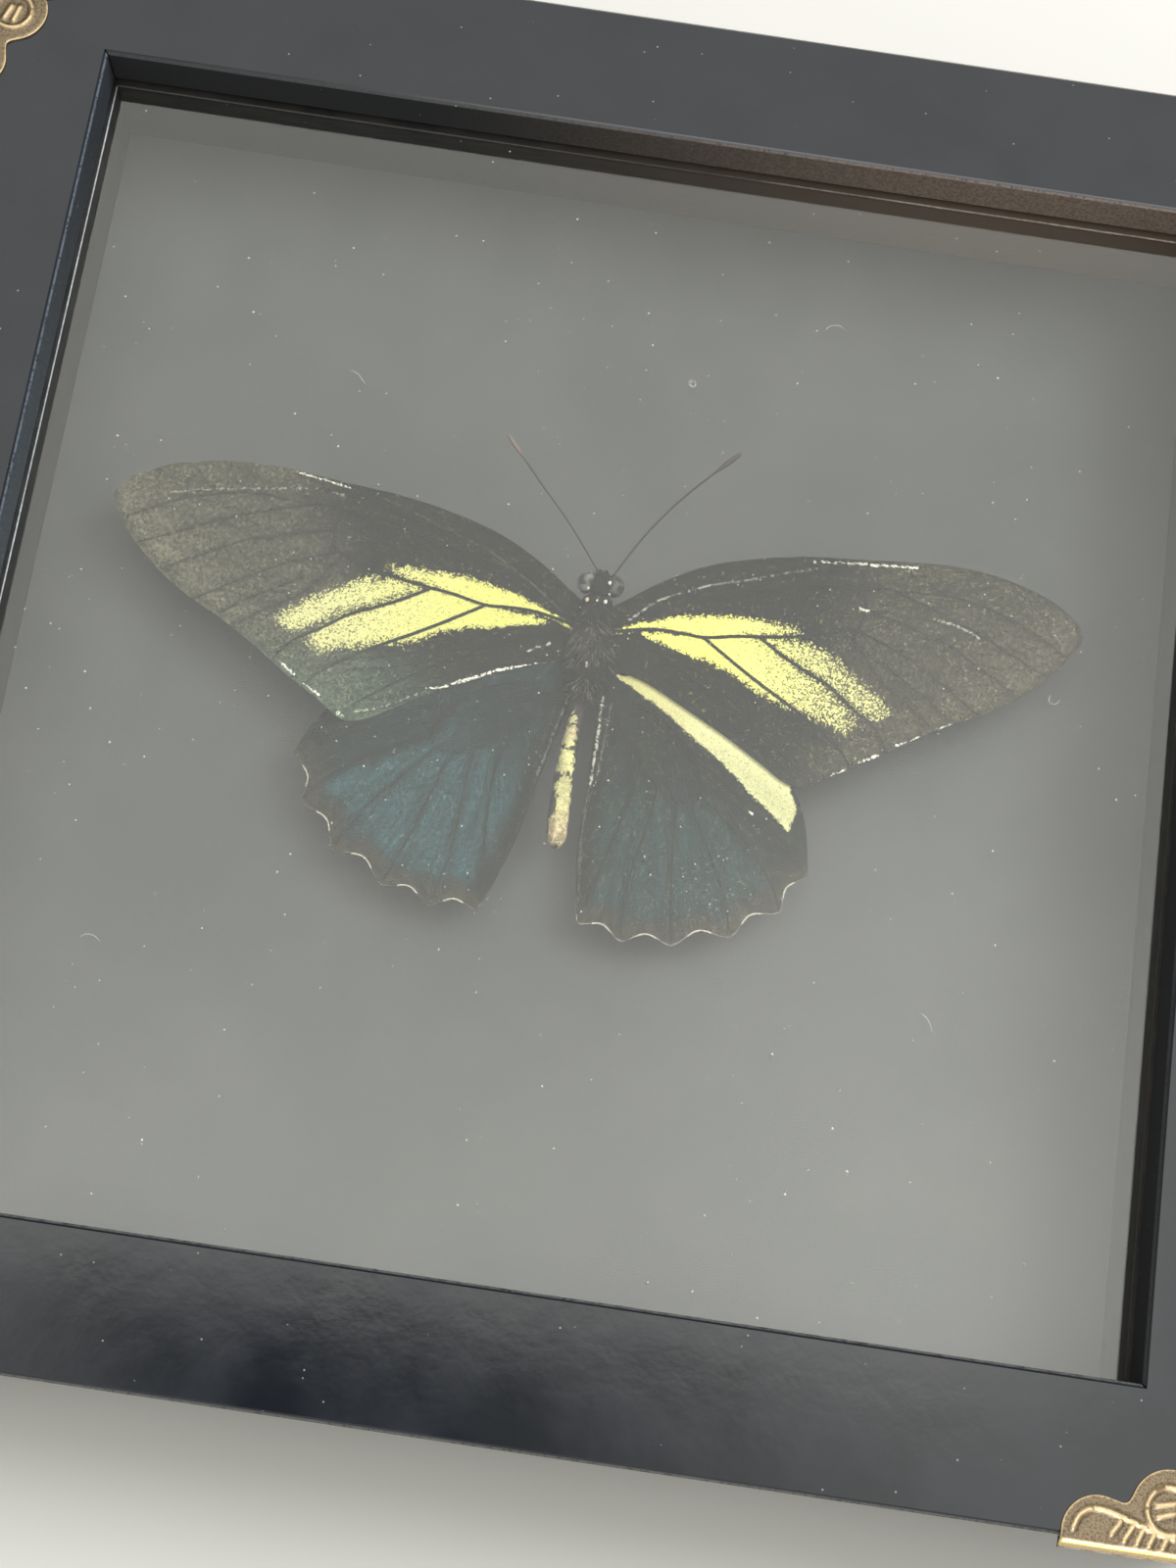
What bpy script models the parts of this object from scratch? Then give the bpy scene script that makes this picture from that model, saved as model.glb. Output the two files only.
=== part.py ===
"""A swallowtail butterfly, spread and set in a small square box frame behind glass.

The frame lies on its back: +Z is out of its front, +Y towards the butterfly's head,
and the origin is the middle of its back.
"""

import math

import bmesh
import bpy
from mathutils import Vector

MM = 0.001

# Driving dimensions, all in millimetres.
SIGHT = 123.4           # side of the square opening
FACE = 14.5             # width of a rail's front face
DEPTH = 25.4            # depth of a rail, front to back
LIP = 4.7               # depth of the lip that the glass lies behind
RABBET = 5.0            # width of the rabbet behind that lip
ARRIS = 0.4             # flat on each long corner of a rail
GAP = 0.2               # between neighbouring pieces
MITRE_GAP = 0.1         # each rail's share of the open mitre

GLASS = 1.6
BOARD = 1.4             # black card that the butterfly is set on
BACKING = 2.8           # hardboard
BACKING_BACK = 4.0      # from the frame's back to the hardboard
SPACER = 4.7            # width of the strips that hold the glass off the card

BRACKET_THICK = 0.6
BRACKET_ARM = 21.4      # from the frame's corner to a bracket's end
BRACKET_DROP = 4.2      # down the frame's side

WING_THICK = 0.5
FOREWING_Z = 13.7
HINDWING_Z = 12.4
BODY_Z = 14.0

# Levels that follow from those.
HALF = SIGHT / 2
OUTER = HALF + FACE
INSIDE = HALF + RABBET - GAP
GLASS_TOP = DEPTH - LIP - GAP
GLASS_BACK = GLASS_TOP - GLASS
BACKING_TOP = BACKING_BACK + BACKING
BOARD_BACK = BACKING_TOP + GAP
BOARD_TOP = BOARD_BACK + BOARD

# Outlines of a right wing: x outwards, y towards the head.
FOREWING = [
    (3.5, 12.5), (6.5, 14.7), (11.3, 17.2), (16.8, 18.9), (22.8, 19.9), (28.5, 20.4),
    (35.0, 21.3), (41.0, 21.3), (46.2, 20.1), (50.4, 18.3), (52.6, 16.0), (52.4, 14.2),
    (50.2, 11.2), (46.8, 7.9), (43.2, 5.5), (39.2, 3.3), (35.6, 1.0), (31.6, -1.7),
    (27.2, -4.4), (24.6, -6.0), (22.4, -5.8), (19.8, -4.5), (15.6, -1.8), (10.6, 0.9),
    (6.6, 2.5), (3.5, 3.7),
]
HINDWING_COSTA = [
    (3.2, 1.9), (8.0, 3.0), (14.0, 1.6), (19.5, -2.0), (23.4, -6.4), (25.2, -10.4), (25.9, -14.8),
]
HINDWING_TEETH = [
    (25.9, -14.8), (23.5, -19.2), (18.7, -22.7), (12.7, -24.5), (7.4, -24.8), (2.7, -23.5),
]
HINDWING_INNER = [(2.7, -23.5), (2.2, -20.0), (1.8, -14.5), (1.9, -9.0), (1.9, -3.5), (3.2, 0.2)]
BAY_DEPTH = 0.2         # of the scallop between two vein ends, beside its width
HINDWING_ROOT = (3.0, 0.0)
LEFT_TURN = 12.0        # degrees that the left hindwing is spread further than the right
LEFT_SIZE = 1.03        # of the left hindwing, beside the right one
LEFT_REACH = 1.013      # of the forewings, beside their mean outline
RIGHT_REACH = 0.987


def clear_scene():
    for thing in list(bpy.data.objects):
        bpy.data.objects.remove(thing, do_unlink=True)


def material(name, colour, roughness, metallic=0.0, transmission=0.0):
    """A Principled material in one colour."""
    mat = bpy.data.materials.new(name)
    mat.use_nodes = True
    shader = mat.node_tree.nodes["Principled BSDF"]
    shader.inputs["Base Color"].default_value = (*colour, 1.0)
    shader.inputs["Roughness"].default_value = roughness
    shader.inputs["Metallic"].default_value = metallic
    shader.inputs["Transmission Weight"].default_value = transmission
    return mat


def solid(name, bm, mat, smooth=False):
    """Turn a bmesh drawn in millimetres into a named object in metres."""
    bmesh.ops.recalc_face_normals(bm, faces=bm.faces)
    bmesh.ops.scale(bm, vec=Vector((MM, MM, MM)), verts=bm.verts)
    mesh = bpy.data.meshes.new(name)
    bm.to_mesh(mesh)
    bm.free()
    mesh.materials.append(mat)
    if smooth:
        mesh.shade_smooth()
    thing = bpy.data.objects.new(name, mesh)
    bpy.context.collection.objects.link(thing)
    return thing


def box(name, low, high, mat, bevel=0.0):
    """A block between two corners, with its corners bevelled."""
    bm = bmesh.new()
    bmesh.ops.create_cube(bm, size=1.0)
    size = [b - a for a, b in zip(low, high)]
    middle = [(a + b) / 2 for a, b in zip(low, high)]
    bmesh.ops.scale(bm, vec=Vector(size), verts=bm.verts)
    bmesh.ops.translate(bm, vec=Vector(middle), verts=bm.verts)
    if bevel:
        bmesh.ops.bevel(bm, geom=bm.edges[:], offset=bevel, segments=1, affect="EDGES")
    return solid(name, bm, mat)


def prism(outline, low, high):
    """A bmesh of a flat outline raised between two heights."""
    bm = bmesh.new()
    bottom = bm.faces.new([bm.verts.new((x, y, low)) for x, y in outline])
    raised = bmesh.ops.extrude_face_region(bm, geom=[bottom])
    moved = [part for part in raised["geom"] if isinstance(part, bmesh.types.BMVert)]
    bmesh.ops.translate(bm, vec=Vector((0, 0, high - low)), verts=moved)
    return bm


def turned(point, quarter):
    """A plan point after a number of quarter turns about the middle."""
    x, y = point
    for _ in range(quarter):
        x, y = -y, x
    return x, y


def arc(centre, radius, start, end, steps):
    """Points along a round stretch; the angles are in degrees."""
    points = []
    for step in range(steps + 1):
        angle = math.radians(start + (end - start) * step / steps)
        points.append((centre[0] + radius * math.cos(angle), centre[1] + radius * math.sin(angle)))
    return points


def smooth_line(points, steps):
    """A Catmull-Rom curve through an open row of plan points."""
    ends = [points[0], *points, points[-1]]
    line = []
    for a, b, c, d in zip(ends, ends[1:], ends[2:], ends[3:]):
        for step in range(steps):
            t = step / steps
            line.append(tuple(
                0.5 * (2 * q + (r - p) * t + (2 * p - 5 * q + 4 * r - s) * t * t
                       + (3 * q - p - 3 * r + s) * t ** 3)
                for p, q, r, s in zip(a, b, c, d)
            ))
    return [*line, points[-1]]


def bay(start, end, steps=6):
    """The scallop between two vein ends, without its start; the bay lies to the right."""
    along = Vector(end) - Vector(start)
    deepest = Vector((along.y, -along.x)) * BAY_DEPTH
    points = []
    for step in range(1, steps + 1):
        t = step / steps
        point = Vector(start) + along * t + deepest * (1 - math.cos(2 * math.pi * t)) / 2
        points.append((point.x, point.y))
    return points


# Frame -----------------------------------------------------------------------------

def frame_rail(name, quarter, mat):
    """A mitred rail with the rabbet; quarter 0 lies along the frame's -Y side."""
    profile = [
        (ARRIS, DEPTH), (FACE - ARRIS, DEPTH), (FACE, DEPTH - ARRIS), (FACE, ARRIS),
        (FACE - ARRIS, 0), (RABBET, 0), (RABBET, DEPTH - LIP), (0, DEPTH - LIP),
        (0, DEPTH - ARRIS),
    ]
    bm = bmesh.new()
    rings = []
    for end in (-1, 1):
        ring = []
        for out, height in profile:
            reach = end * (HALF + out - MITRE_GAP)
            ring.append(bm.verts.new((*turned((reach, -HALF - out), quarter), height)))
        rings.append(ring)
        bm.faces.new(ring)
    for index in range(len(profile)):
        after = (index + 1) % len(profile)
        first, second = rings
        bm.faces.new((first[index], first[after], second[after], second[index]))
    return solid(name, bm, mat)


def glazing_and_boards(glass, card, hardboard):
    box("glass_pane", (-INSIDE, -INSIDE, GLASS_BACK), (INSIDE, INSIDE, GLASS_TOP), glass)
    box("mount_board", (-INSIDE, -INSIDE, BOARD_BACK), (INSIDE, INSIDE, BOARD_TOP), card)
    box("backing_board", (-INSIDE, -INSIDE, BACKING_BACK), (INSIDE, INSIDE, BACKING_TOP),
        hardboard)


def spacer(name, quarter, full, mat):
    """A strip between the card and the glass; a full one runs past the ends of two others."""
    reach = INSIDE if full else HALF - GAP
    low = turned((-reach, -HALF - SPACER + GAP), quarter)
    high = turned((reach, -HALF), quarter)
    box(name, (min(low[0], high[0]), min(low[1], high[1]), BOARD_TOP + GAP),
        (max(low[0], high[0]), max(low[1], high[1]), GLASS_BACK - GAP), mat)


def retaining_point(name, quarter, along, mat):
    """A flat steel point that stands out of the rail over the hardboard's edge, tip bent up."""
    root = HALF + RABBET - GAP
    width, length, bent = 6.4, 9.6, 3.0
    thick, lift = 0.5, 1.4
    top = BACKING_BACK - GAP
    bm = bmesh.new()
    rows = []
    for reach, half, drop in ((0, width / 2, 0), (length - bent, width / 2.6, 0),
                              (length, width / 7, lift)):
        row = []
        for side, height in ((-half, top), (half, top), (half, top - thick), (-half, top - thick)):
            plan = turned((along + side, -root + reach), quarter)
            row.append(bm.verts.new((*plan, height - drop)))
        rows.append(row)
    bm.faces.new(rows[0])
    bm.faces.new(rows[-1])
    for near, far in zip(rows, rows[1:]):
        for index in range(4):
            after = (index + 1) % 4
            bm.faces.new((near[index], near[after], far[after], far[index]))
    solid(name, bm, mat)


def hanger(mat):
    """A sawtooth hanger nailed to the hardboard: a strip raised in the middle, teeth below."""
    middle, length, height = 48.0, 44.0, 8.0
    thick, raised, ear, slope = 0.6, 1.2, 7.0, 2.0
    teeth = 9
    low, high = middle - height / 2, middle + height / 2
    flat = BACKING_BACK - GAP
    span = length / 2 - ear - slope
    stations = [(-length / 2, 0), (-length / 2 + ear, 0), (-span, raised)]
    for index in range(1, 2 * teeth):
        stations.append((-span + index * span / teeth, raised))
    stations += [(span, raised), (length / 2 - ear, 0), (length / 2, 0)]
    bm = bmesh.new()
    rows = []
    for index, (x, drop) in enumerate(stations):
        notched = drop and index % 2 and abs(x) < span
        foot = low + (1.3 if notched else 0.0)
        rows.append([bm.verts.new((x, y, flat - drop - z))
                     for y, z in ((foot, 0), (high, 0), (high, thick), (foot, thick))])
    bm.faces.new(rows[0])
    bm.faces.new(rows[-1])
    for near, far in zip(rows, rows[1:]):
        for index in range(4):
            after = (index + 1) % 4
            bm.faces.new((near[index], near[after], far[after], far[index]))
    solid("sawtooth_hanger", bm, mat)
    for name, side in (("hanger_nail_left", 1), ("hanger_nail_right", -1)):
        bm = bmesh.new()
        head = flat - thick - GAP
        bmesh.ops.create_cone(bm, cap_ends=True, segments=16, radius1=1.1, radius2=1.5, depth=0.7)
        bmesh.ops.translate(
            bm, vec=Vector((side * (length - ear) / 2, middle, head - 0.35)), verts=bm.verts)
        solid(name, bm, mat)


def bracket_outline():
    """From one arm's end round the lobes to the diagonal: (along the arm, in from the edge)."""
    end_lobe = arc((17.7, 0.6), 3.4, 0, 128, 7)
    ring_lobe = arc((11.1, 3.5), 3.7, 10, 118, 7)
    middle_lobe = arc((6.3, 6.2), 2.9, 5, 44, 3)
    return [(BRACKET_ARM, 1.0), *end_lobe[1:], *ring_lobe, *middle_lobe]


def corner_bracket(name, quarter, mat):
    """Stamped brass: a lobed plate on the front with a flange down each side of the frame."""
    top = DEPTH + GAP + BRACKET_THICK
    under = DEPTH + GAP
    foot = top - BRACKET_DROP
    skin = GAP + BRACKET_THICK
    half = bracket_outline()
    lobes = half + [(b, a) for a, b in reversed(half)]
    bm = bmesh.new()

    def corner_point(along, inward, height):
        """A vertex at the +X -Y corner's distances, turned to this bracket's corner."""
        return bm.verts.new((*turned((OUTER - inward, -OUTER + along), quarter), height))

    upper = [corner_point(a, b, top) for a, b in lobes]
    lower = [corner_point(a, b, under) for a, b in lobes]
    ends = ((BRACKET_ARM, -skin), (-skin, -skin), (-skin, BRACKET_ARM))
    inner = ((BRACKET_ARM, -GAP), (-GAP, -GAP), (-GAP, BRACKET_ARM))
    out_top = [corner_point(a, b, top) for a, b in ends]
    out_foot = [corner_point(a, b, foot) for a, b in ends]
    in_top = [corner_point(*inner[0], top), None, corner_point(*inner[2], top)]
    in_under = [corner_point(a, b, under) for a, b in inner]
    in_foot = [corner_point(a, b, foot) for a, b in inner]

    bm.faces.new([in_top[0], *upper, in_top[2], out_top[2], out_top[1], out_top[0]])
    bm.faces.new([in_under[0], *lower, in_under[2], in_under[1]])
    rim_top = [in_top[0], *upper, in_top[2]]
    rim_under = [in_under[0], *lower, in_under[2]]
    for index in range(len(rim_top) - 1):
        bm.faces.new((rim_top[index], rim_top[index + 1], rim_under[index + 1], rim_under[index]))
    for end in (0, 2):
        bm.faces.new((out_top[end], in_top[end], in_under[end], in_foot[end], out_foot[end]))
    for near, far in ((0, 1), (1, 2)):
        bm.faces.new((out_top[near], out_foot[near], out_foot[far], out_top[far]))
        bm.faces.new((out_foot[near], in_foot[near], in_foot[far], out_foot[far]))
        bm.faces.new((in_foot[near], in_under[near], in_under[far], in_foot[far]))
    solid(name, bm, mat)


# Butterfly -------------------------------------------------------------------------

def wing(name, outline, low, side, mat):
    return solid(name, prism([(side * x, y) for x, y in outline], low, low + WING_THICK), mat)


def forewing_outline(reach):
    return [(x * reach, y) for x, y in smooth_line(FOREWING, 2)]


def hindwing_outline(turn, size):
    """Costa, scalloped bays and inner margin, turned and scaled about the root."""
    outline = smooth_line(HINDWING_COSTA, 3)
    for start, end in zip(HINDWING_TEETH, HINDWING_TEETH[1:]):
        outline += bay(start, end)
    outline += smooth_line(HINDWING_INNER, 3)[1:]
    cos, sin = size * math.cos(math.radians(turn)), size * math.sin(math.radians(turn))
    root_x, root_y = HINDWING_ROOT
    return [(root_x + (x - root_x) * cos - (y - root_y) * sin,
             root_y + (x - root_x) * sin + (y - root_y) * cos) for x, y in outline]


def ellipsoid(centre, radii, segments, rings):
    bm = bmesh.new()
    bmesh.ops.create_uvsphere(bm, u_segments=segments, v_segments=rings, radius=1.0)
    bmesh.ops.scale(bm, vec=Vector(radii), verts=bm.verts)
    bmesh.ops.translate(bm, vec=Vector(centre), verts=bm.verts)
    return bm


def head(mat):
    """A small head with an eye swelling out on each side."""
    centre = Vector((0.3, 13.0, BODY_Z))
    thing = solid("head", ellipsoid(centre, (1.25, 1.4, 1.3), 16, 10), mat, True)
    for side in (-1, 1):
        name = "head_eye_guide_left" if side < 0 else "head_eye_guide_right"
        place = centre + Vector((1.2 * side, 0, 0))
        eye = solid(name, ellipsoid(place, (0.9, 1.1, 1.15), 12, 8), mat, True)
        eye.hide_render = True
        eye.hide_viewport = True
        eye.display_type = "WIRE"
        union = thing.modifiers.new("eye", "BOOLEAN")
        union.operation = "UNION"
        union.solver = "EXACT"
        union.object = eye


def abdomen(mat):
    """A tube that swells from the waist, sags a little and ends blunt."""
    start, end = 0.2, -16.0
    rings, sides = 14, 14
    bm = bmesh.new()
    loops = []
    for index in range(rings):
        t = index / (rings - 1)
        y = start + (end - start) * t
        x = -0.9 * math.sin(math.pi * min(1.0, 0.15 + t * 0.65))
        z = BODY_Z - 0.4 - 0.7 * t * t
        radius = 0.62 + 0.42 * math.sin(math.pi / 2 * min(1.0, t * 1.6))
        radius *= math.sqrt(max(0.06, 1 - max(0.0, (t - 0.86) / 0.145) ** 2))
        loops.append([bm.verts.new((x + radius * math.cos(angle), y, z + radius * math.sin(angle)))
                      for angle in (2 * math.pi * side / sides for side in range(sides))])
    bm.faces.new(loops[0])
    bm.faces.new(loops[-1])
    for near, far in zip(loops, loops[1:]):
        for side in range(sides):
            after = (side + 1) % sides
            bm.faces.new((near[side], near[after], far[after], far[side]))
    solid("abdomen", bm, mat, True)


def antenna(name, points, mat):
    """A bristle that thickens into a club over its last quarter."""
    route = smooth_line(points, 5)
    curve = bpy.data.curves.new(name, "CURVE")
    curve.dimensions = "3D"
    curve.bevel_depth = 0.16 * MM
    curve.bevel_resolution = 2
    curve.use_fill_caps = True
    spline = curve.splines.new("POLY")
    spline.points.add(len(route) - 1)
    for index, (knot, place) in enumerate(zip(spline.points, route)):
        t = index / (len(route) - 1)
        knot.co = (*[value * MM for value in place], 1.0)
        knot.radius = 1.0 + 1.4 * max(0.0, math.sin(math.pi * min(1.0, (t - 0.72) / 0.36)))
    curve.materials.append(mat)
    bpy.context.collection.objects.link(bpy.data.objects.new(name, curve))


# Assembly --------------------------------------------------------------------------

def build():
    clear_scene()
    lacquer = material("black_lacquer", (0.035, 0.036, 0.038), 0.45)
    glass = material("clear_glass", (0.9, 0.95, 0.93), 0.05, transmission=1.0)
    card = material("black_card", (0.05, 0.05, 0.052), 0.9)
    strip = material("spacer_strip", (0.035, 0.035, 0.038), 0.8)
    hardboard = material("brown_hardboard", (0.28, 0.17, 0.09), 0.8)
    steel = material("zinc_steel", (0.62, 0.62, 0.6), 0.4, metallic=1.0)
    brass = material("aged_brass", (0.62, 0.47, 0.27), 0.35, metallic=1.0)
    fore = material("forewing_scales", (0.05, 0.045, 0.03), 0.8)
    hind = material("hindwing_scales", (0.02, 0.05, 0.05), 0.7)
    fur = material("body_fur", (0.03, 0.028, 0.025), 0.9)
    pale = material("abdomen_scales", (0.58, 0.54, 0.26), 0.75)
    foam = material("white_foam", (0.8, 0.8, 0.78), 0.9)

    for quarter, side in enumerate(("bottom", "right", "top", "left")):
        frame_rail(f"frame_rail_{side}", quarter, lacquer)
        spacer(f"spacer_{side}", quarter, quarter % 2 == 0, strip)
        for label, along in (("a", -34.0), ("b", 34.0)):
            retaining_point(f"retaining_point_{side}_{label}", quarter, along, steel)
    glazing_and_boards(glass, card, hardboard)
    hanger(steel)
    for quarter, place in enumerate(("bottom_right", "top_right", "top_left", "bottom_left")):
        corner_bracket(f"corner_bracket_{place}", quarter, brass)

    wing("forewing_right", forewing_outline(RIGHT_REACH), FOREWING_Z, 1, fore)
    wing("forewing_left", forewing_outline(LEFT_REACH), FOREWING_Z, -1, fore)
    wing("hindwing_right", hindwing_outline(0.0, 1.0), HINDWING_Z, 1, hind)
    wing("hindwing_left", hindwing_outline(LEFT_TURN, LEFT_SIZE), HINDWING_Z, -1, hind)
    solid("thorax", ellipsoid((-0.2, 5.9, BODY_Z), (3.0, 5.3, 2.6), 20, 12), fur, True)
    head(fur)
    abdomen(pale)
    antenna("antenna_left", [(-0.4, 14.9, 14.6), (-4.4, 19.4, 14.9), (-8.6, 24.0, 15.1),
                             (-12.5, 28.5, 15.2)], fur)
    antenna("antenna_right", [(1.1, 14.8, 14.6), (3.9, 19.4, 14.9), (7.6, 24.5, 15.1),
                              (12.9, 30.3, 15.2)], fur)
    box("riser_block", (-1.9, 3.2, BOARD_TOP + GAP), (1.5, 8.6, BODY_Z - 2.6 - GAP), foam)


build()
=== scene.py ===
"""The looks of a swallowtail butterfly set in a box frame, built around its CAD model.

Lengths are in millimetres until a mesh is made. A wing is drawn as a right wing, x
outwards and y towards the head, and the left ones are mirrored.
"""

import math

import bmesh
import bpy
import numpy as np
from mathutils import Matrix, Vector, geometry


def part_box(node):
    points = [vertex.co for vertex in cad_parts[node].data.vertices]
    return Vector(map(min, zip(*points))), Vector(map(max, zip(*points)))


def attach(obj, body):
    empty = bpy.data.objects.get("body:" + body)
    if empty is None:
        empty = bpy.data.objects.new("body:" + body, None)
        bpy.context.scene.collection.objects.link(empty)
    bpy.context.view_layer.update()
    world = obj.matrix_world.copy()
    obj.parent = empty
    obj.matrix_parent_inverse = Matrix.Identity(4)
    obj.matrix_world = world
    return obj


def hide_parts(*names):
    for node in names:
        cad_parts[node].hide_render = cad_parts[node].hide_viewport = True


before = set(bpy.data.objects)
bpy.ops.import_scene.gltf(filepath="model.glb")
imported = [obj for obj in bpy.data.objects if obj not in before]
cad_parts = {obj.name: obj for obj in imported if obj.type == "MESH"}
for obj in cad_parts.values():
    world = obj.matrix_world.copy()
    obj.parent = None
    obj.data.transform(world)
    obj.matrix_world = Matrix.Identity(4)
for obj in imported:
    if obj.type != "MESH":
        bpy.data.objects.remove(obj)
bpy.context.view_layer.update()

MM = 0.001
rng = np.random.default_rng(7)


# Levels and edges that the CAD model gives ------------------------------------------

def lowest(node):
    """The low corner of a CAD node's box, in millimetres."""
    return np.array(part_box(node)[0]) / MM


def highest(node):
    """The high corner of a CAD node's box, in millimetres."""
    return np.array(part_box(node)[1]) / MM


BOARD_TOP = highest("mount_board")[2]
GLASS_TOP = highest("glass_pane")[2]
FRAME_TOP = highest("frame_rail_top")[2]
OUTER = highest("frame_rail_right")[0]
SPACER_FACE = lowest("spacer_right")[0]
SPACER_TOP = highest("spacer_right")[2]
FORE_Z = (lowest("forewing_right")[2] + highest("forewing_right")[2]) / 2
HIND_Z = (lowest("hindwing_right")[2] + highest("hindwing_right")[2]) / 2
BODY_Z = (lowest("head")[2] + highest("head")[2]) / 2
BRACKET_TOP = highest("corner_bracket_top_left")[2]
BRACKET_FOOT = lowest("corner_bracket_top_left")[2]
BRACKET_OUT = highest("corner_bracket_bottom_right")[0] - OUTER

# Sizes --------------------------------------------------------------------------------
WING_NET = 0.22         # spacing of the points that a wing is meshed with
BRACKET_NET = 0.24
MEMBRANE = 0.1          # a wing's thickness
BAY_DEPTH = 0.2         # of a scallop between two vein ends, beside its width
ROOT = (3.0, 0.0)       # about which a hindwing is spread
LEFT_TURN = 12.0        # degrees that the left hindwing is spread further
LEFT_SIZE = 1.03        # of the left hindwing, beside the right one
LEFT_REACH = 1.026      # of the left forewing, beside the right one

# The right forewing -------------------------------------------------------------------
FOREWING = [
    (1.4, 11.0), (3.5, 12.5), (6.5, 14.7), (11.2, 17.3), (16.6, 19.0), (22.5, 20.0),
    (28.1, 20.5), (34.5, 21.2), (40.5, 21.3), (45.6, 20.3), (49.9, 18.4), (52.0, 16.2),
    (51.8, 14.3), (49.7, 11.3), (46.3, 8.0), (42.6, 5.4), (38.7, 3.3), (35.1, 1.1),
    (31.2, -1.6), (26.8, -4.3), (24.3, -5.9), (22.1, -5.6), (19.6, -4.1), (15.4, -1.5),
    (10.4, 1.1), (6.4, 3.1), (3.4, 4.0), (1.6, 4.8),
]
FOREWING_VEINS = [
    [(1.8, 8.2), (6.3, 9.1), (9.7, 9.1), (11.7, 9.0), (15.4, 9.7), (18.7, 10.1), (22.7, 10.9),
     (27.9, 12.5)],
    [(2.4, 9.2), (6.8, 12.4), (11.6, 14.8), (17.2, 16.6), (23.8, 18.8), (30.0, 20.2)],
    [(3.0, 9.2), (7.5, 11.9), (13.0, 14.0), (19.5, 15.8), (27.9, 17.4), (32.8, 17.5), (36.9, 17.8),
     (40.0, 17.5), (44.2, 16.3), (48.1, 14.4), (50.3, 13.0)],
    [(31.0, 17.4), (32.9, 16.9), (36.4, 15.8), (38.9, 14.9), (42.1, 13.5), (44.9, 12.1),
     (48.5, 10.4)],
    [(28.4, 14.9), (31.5, 14.1), (34.3, 13.3), (37.4, 12.4), (41.0, 10.4), (45.0, 8.2)],
    [(28.0, 12.3), (30.8, 11.3), (33.6, 10.0), (36.5, 8.3), (38.7, 6.9), (41.6, 5.0)],
    [(27.2, 12.0), (28.9, 9.6), (30.2, 7.7), (32.0, 6.2), (34.2, 4.8), (36.6, 2.8)],
    [(30.9, 9.2), (33.8, 7.2), (36.4, 5.6), (38.8, 3.7)],
    [(27.9, 17.4), (28.5, 15.0), (28.0, 12.4)],
    [(17.7, 9.8), (20.3, 8.2), (23.2, 6.7), (25.3, 5.7), (28.3, 3.5), (30.8, 1.8), (32.4, -0.6)],
    [(11.6, 9.0), (15.1, 6.7), (18.0, 4.9), (20.9, 3.2), (23.8, 1.4), (27.1, -0.9), (28.8, -2.9)],
    [(2.5, 7.2), (7.0, 6.5), (12.5, 3.4), (18.0, 0.0), (23.4, -4.2)],
]
FOREWING_YELLOW = [
    [(1.2, 7.3), (3.3, 9.0), (6.2, 10.1), (8.8, 11.0), (12.1, 11.6), (15.1, 11.9), (17.8, 11.8),
     (19.9, 11.7), (21.9, 11.2), (18.7, 10.3), (15.4, 9.9), (11.7, 9.2), (9.7, 9.2), (6.3, 9.2),
     (3.4, 8.5)],
    [(4.8, 8.45), (6.3, 8.8), (9.7, 8.9), (11.7, 8.9), (15.4, 9.5), (17.6, 9.7), (20.3, 8.1),
     (23.2, 6.6), (25.3, 5.6), (28.0, 3.5), (28.9, 1.7), (27.9, 0.8), (26.5, 1.1), (23.7, 2.0),
     (20.9, 2.9), (18.9, 3.4), (17.0, 4.4), (15.2, 5.4), (12.8, 6.3), (10.3, 6.8), (7.5, 7.6),
     (5.9, 8.1)],
    [(18.3, 9.8), (20.8, 10.1), (23.5, 9.8), (25.6, 9.1), (27.5, 7.6), (29.7, 6.2), (31.5, 4.7),
     (32.3, 3.7), (31.7, 2.8), (30.4, 2.7), (28.3, 3.7), (25.5, 5.8), (23.2, 6.9), (20.5, 8.3)],
]
FOREWING_RIGHT_PALE = [     # route, half width, strength
    # The first two lines are a painted highlight along the subcostal vein.
    ([(3.5, 9.8), (6.8, 12.7), (11.6, 15.0)], 0.08, 0.5),
    ([(11.6, 15.0), (17.2, 16.8), (23.8, 19.0)], 0.07, 0.25),
    ([(3.5, 9.8), (4.5, 9.7)], 0.08, 0.35),
    ([(22.4, 19.4), (26.0, 19.8), (29.2, 20.1)], 0.1, 0.6),
    ([(28.4, 19.9), (31.0, 20.3), (33.6, 20.5)], 0.13, 0.9),
    ([(27.6, 14.9), (28.9, 14.7)], 0.12, 0.8),
    ([(27.0, -4.0), (28.6, -3.1)], 0.1, 1.0),
    ([(29.4, -2.5), (31.6, -1.1)], 0.12, 1.0),
    ([(33.4, 0.2), (35.6, 1.5)], 0.1, 1.0),
    ([(37.6, 2.7), (39.0, 3.4)], 0.08, 0.8),
    ([(36.0, 14.9), (38.5, 14.6), (41.0, 13.6)], 0.1, 0.35),
]
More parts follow.
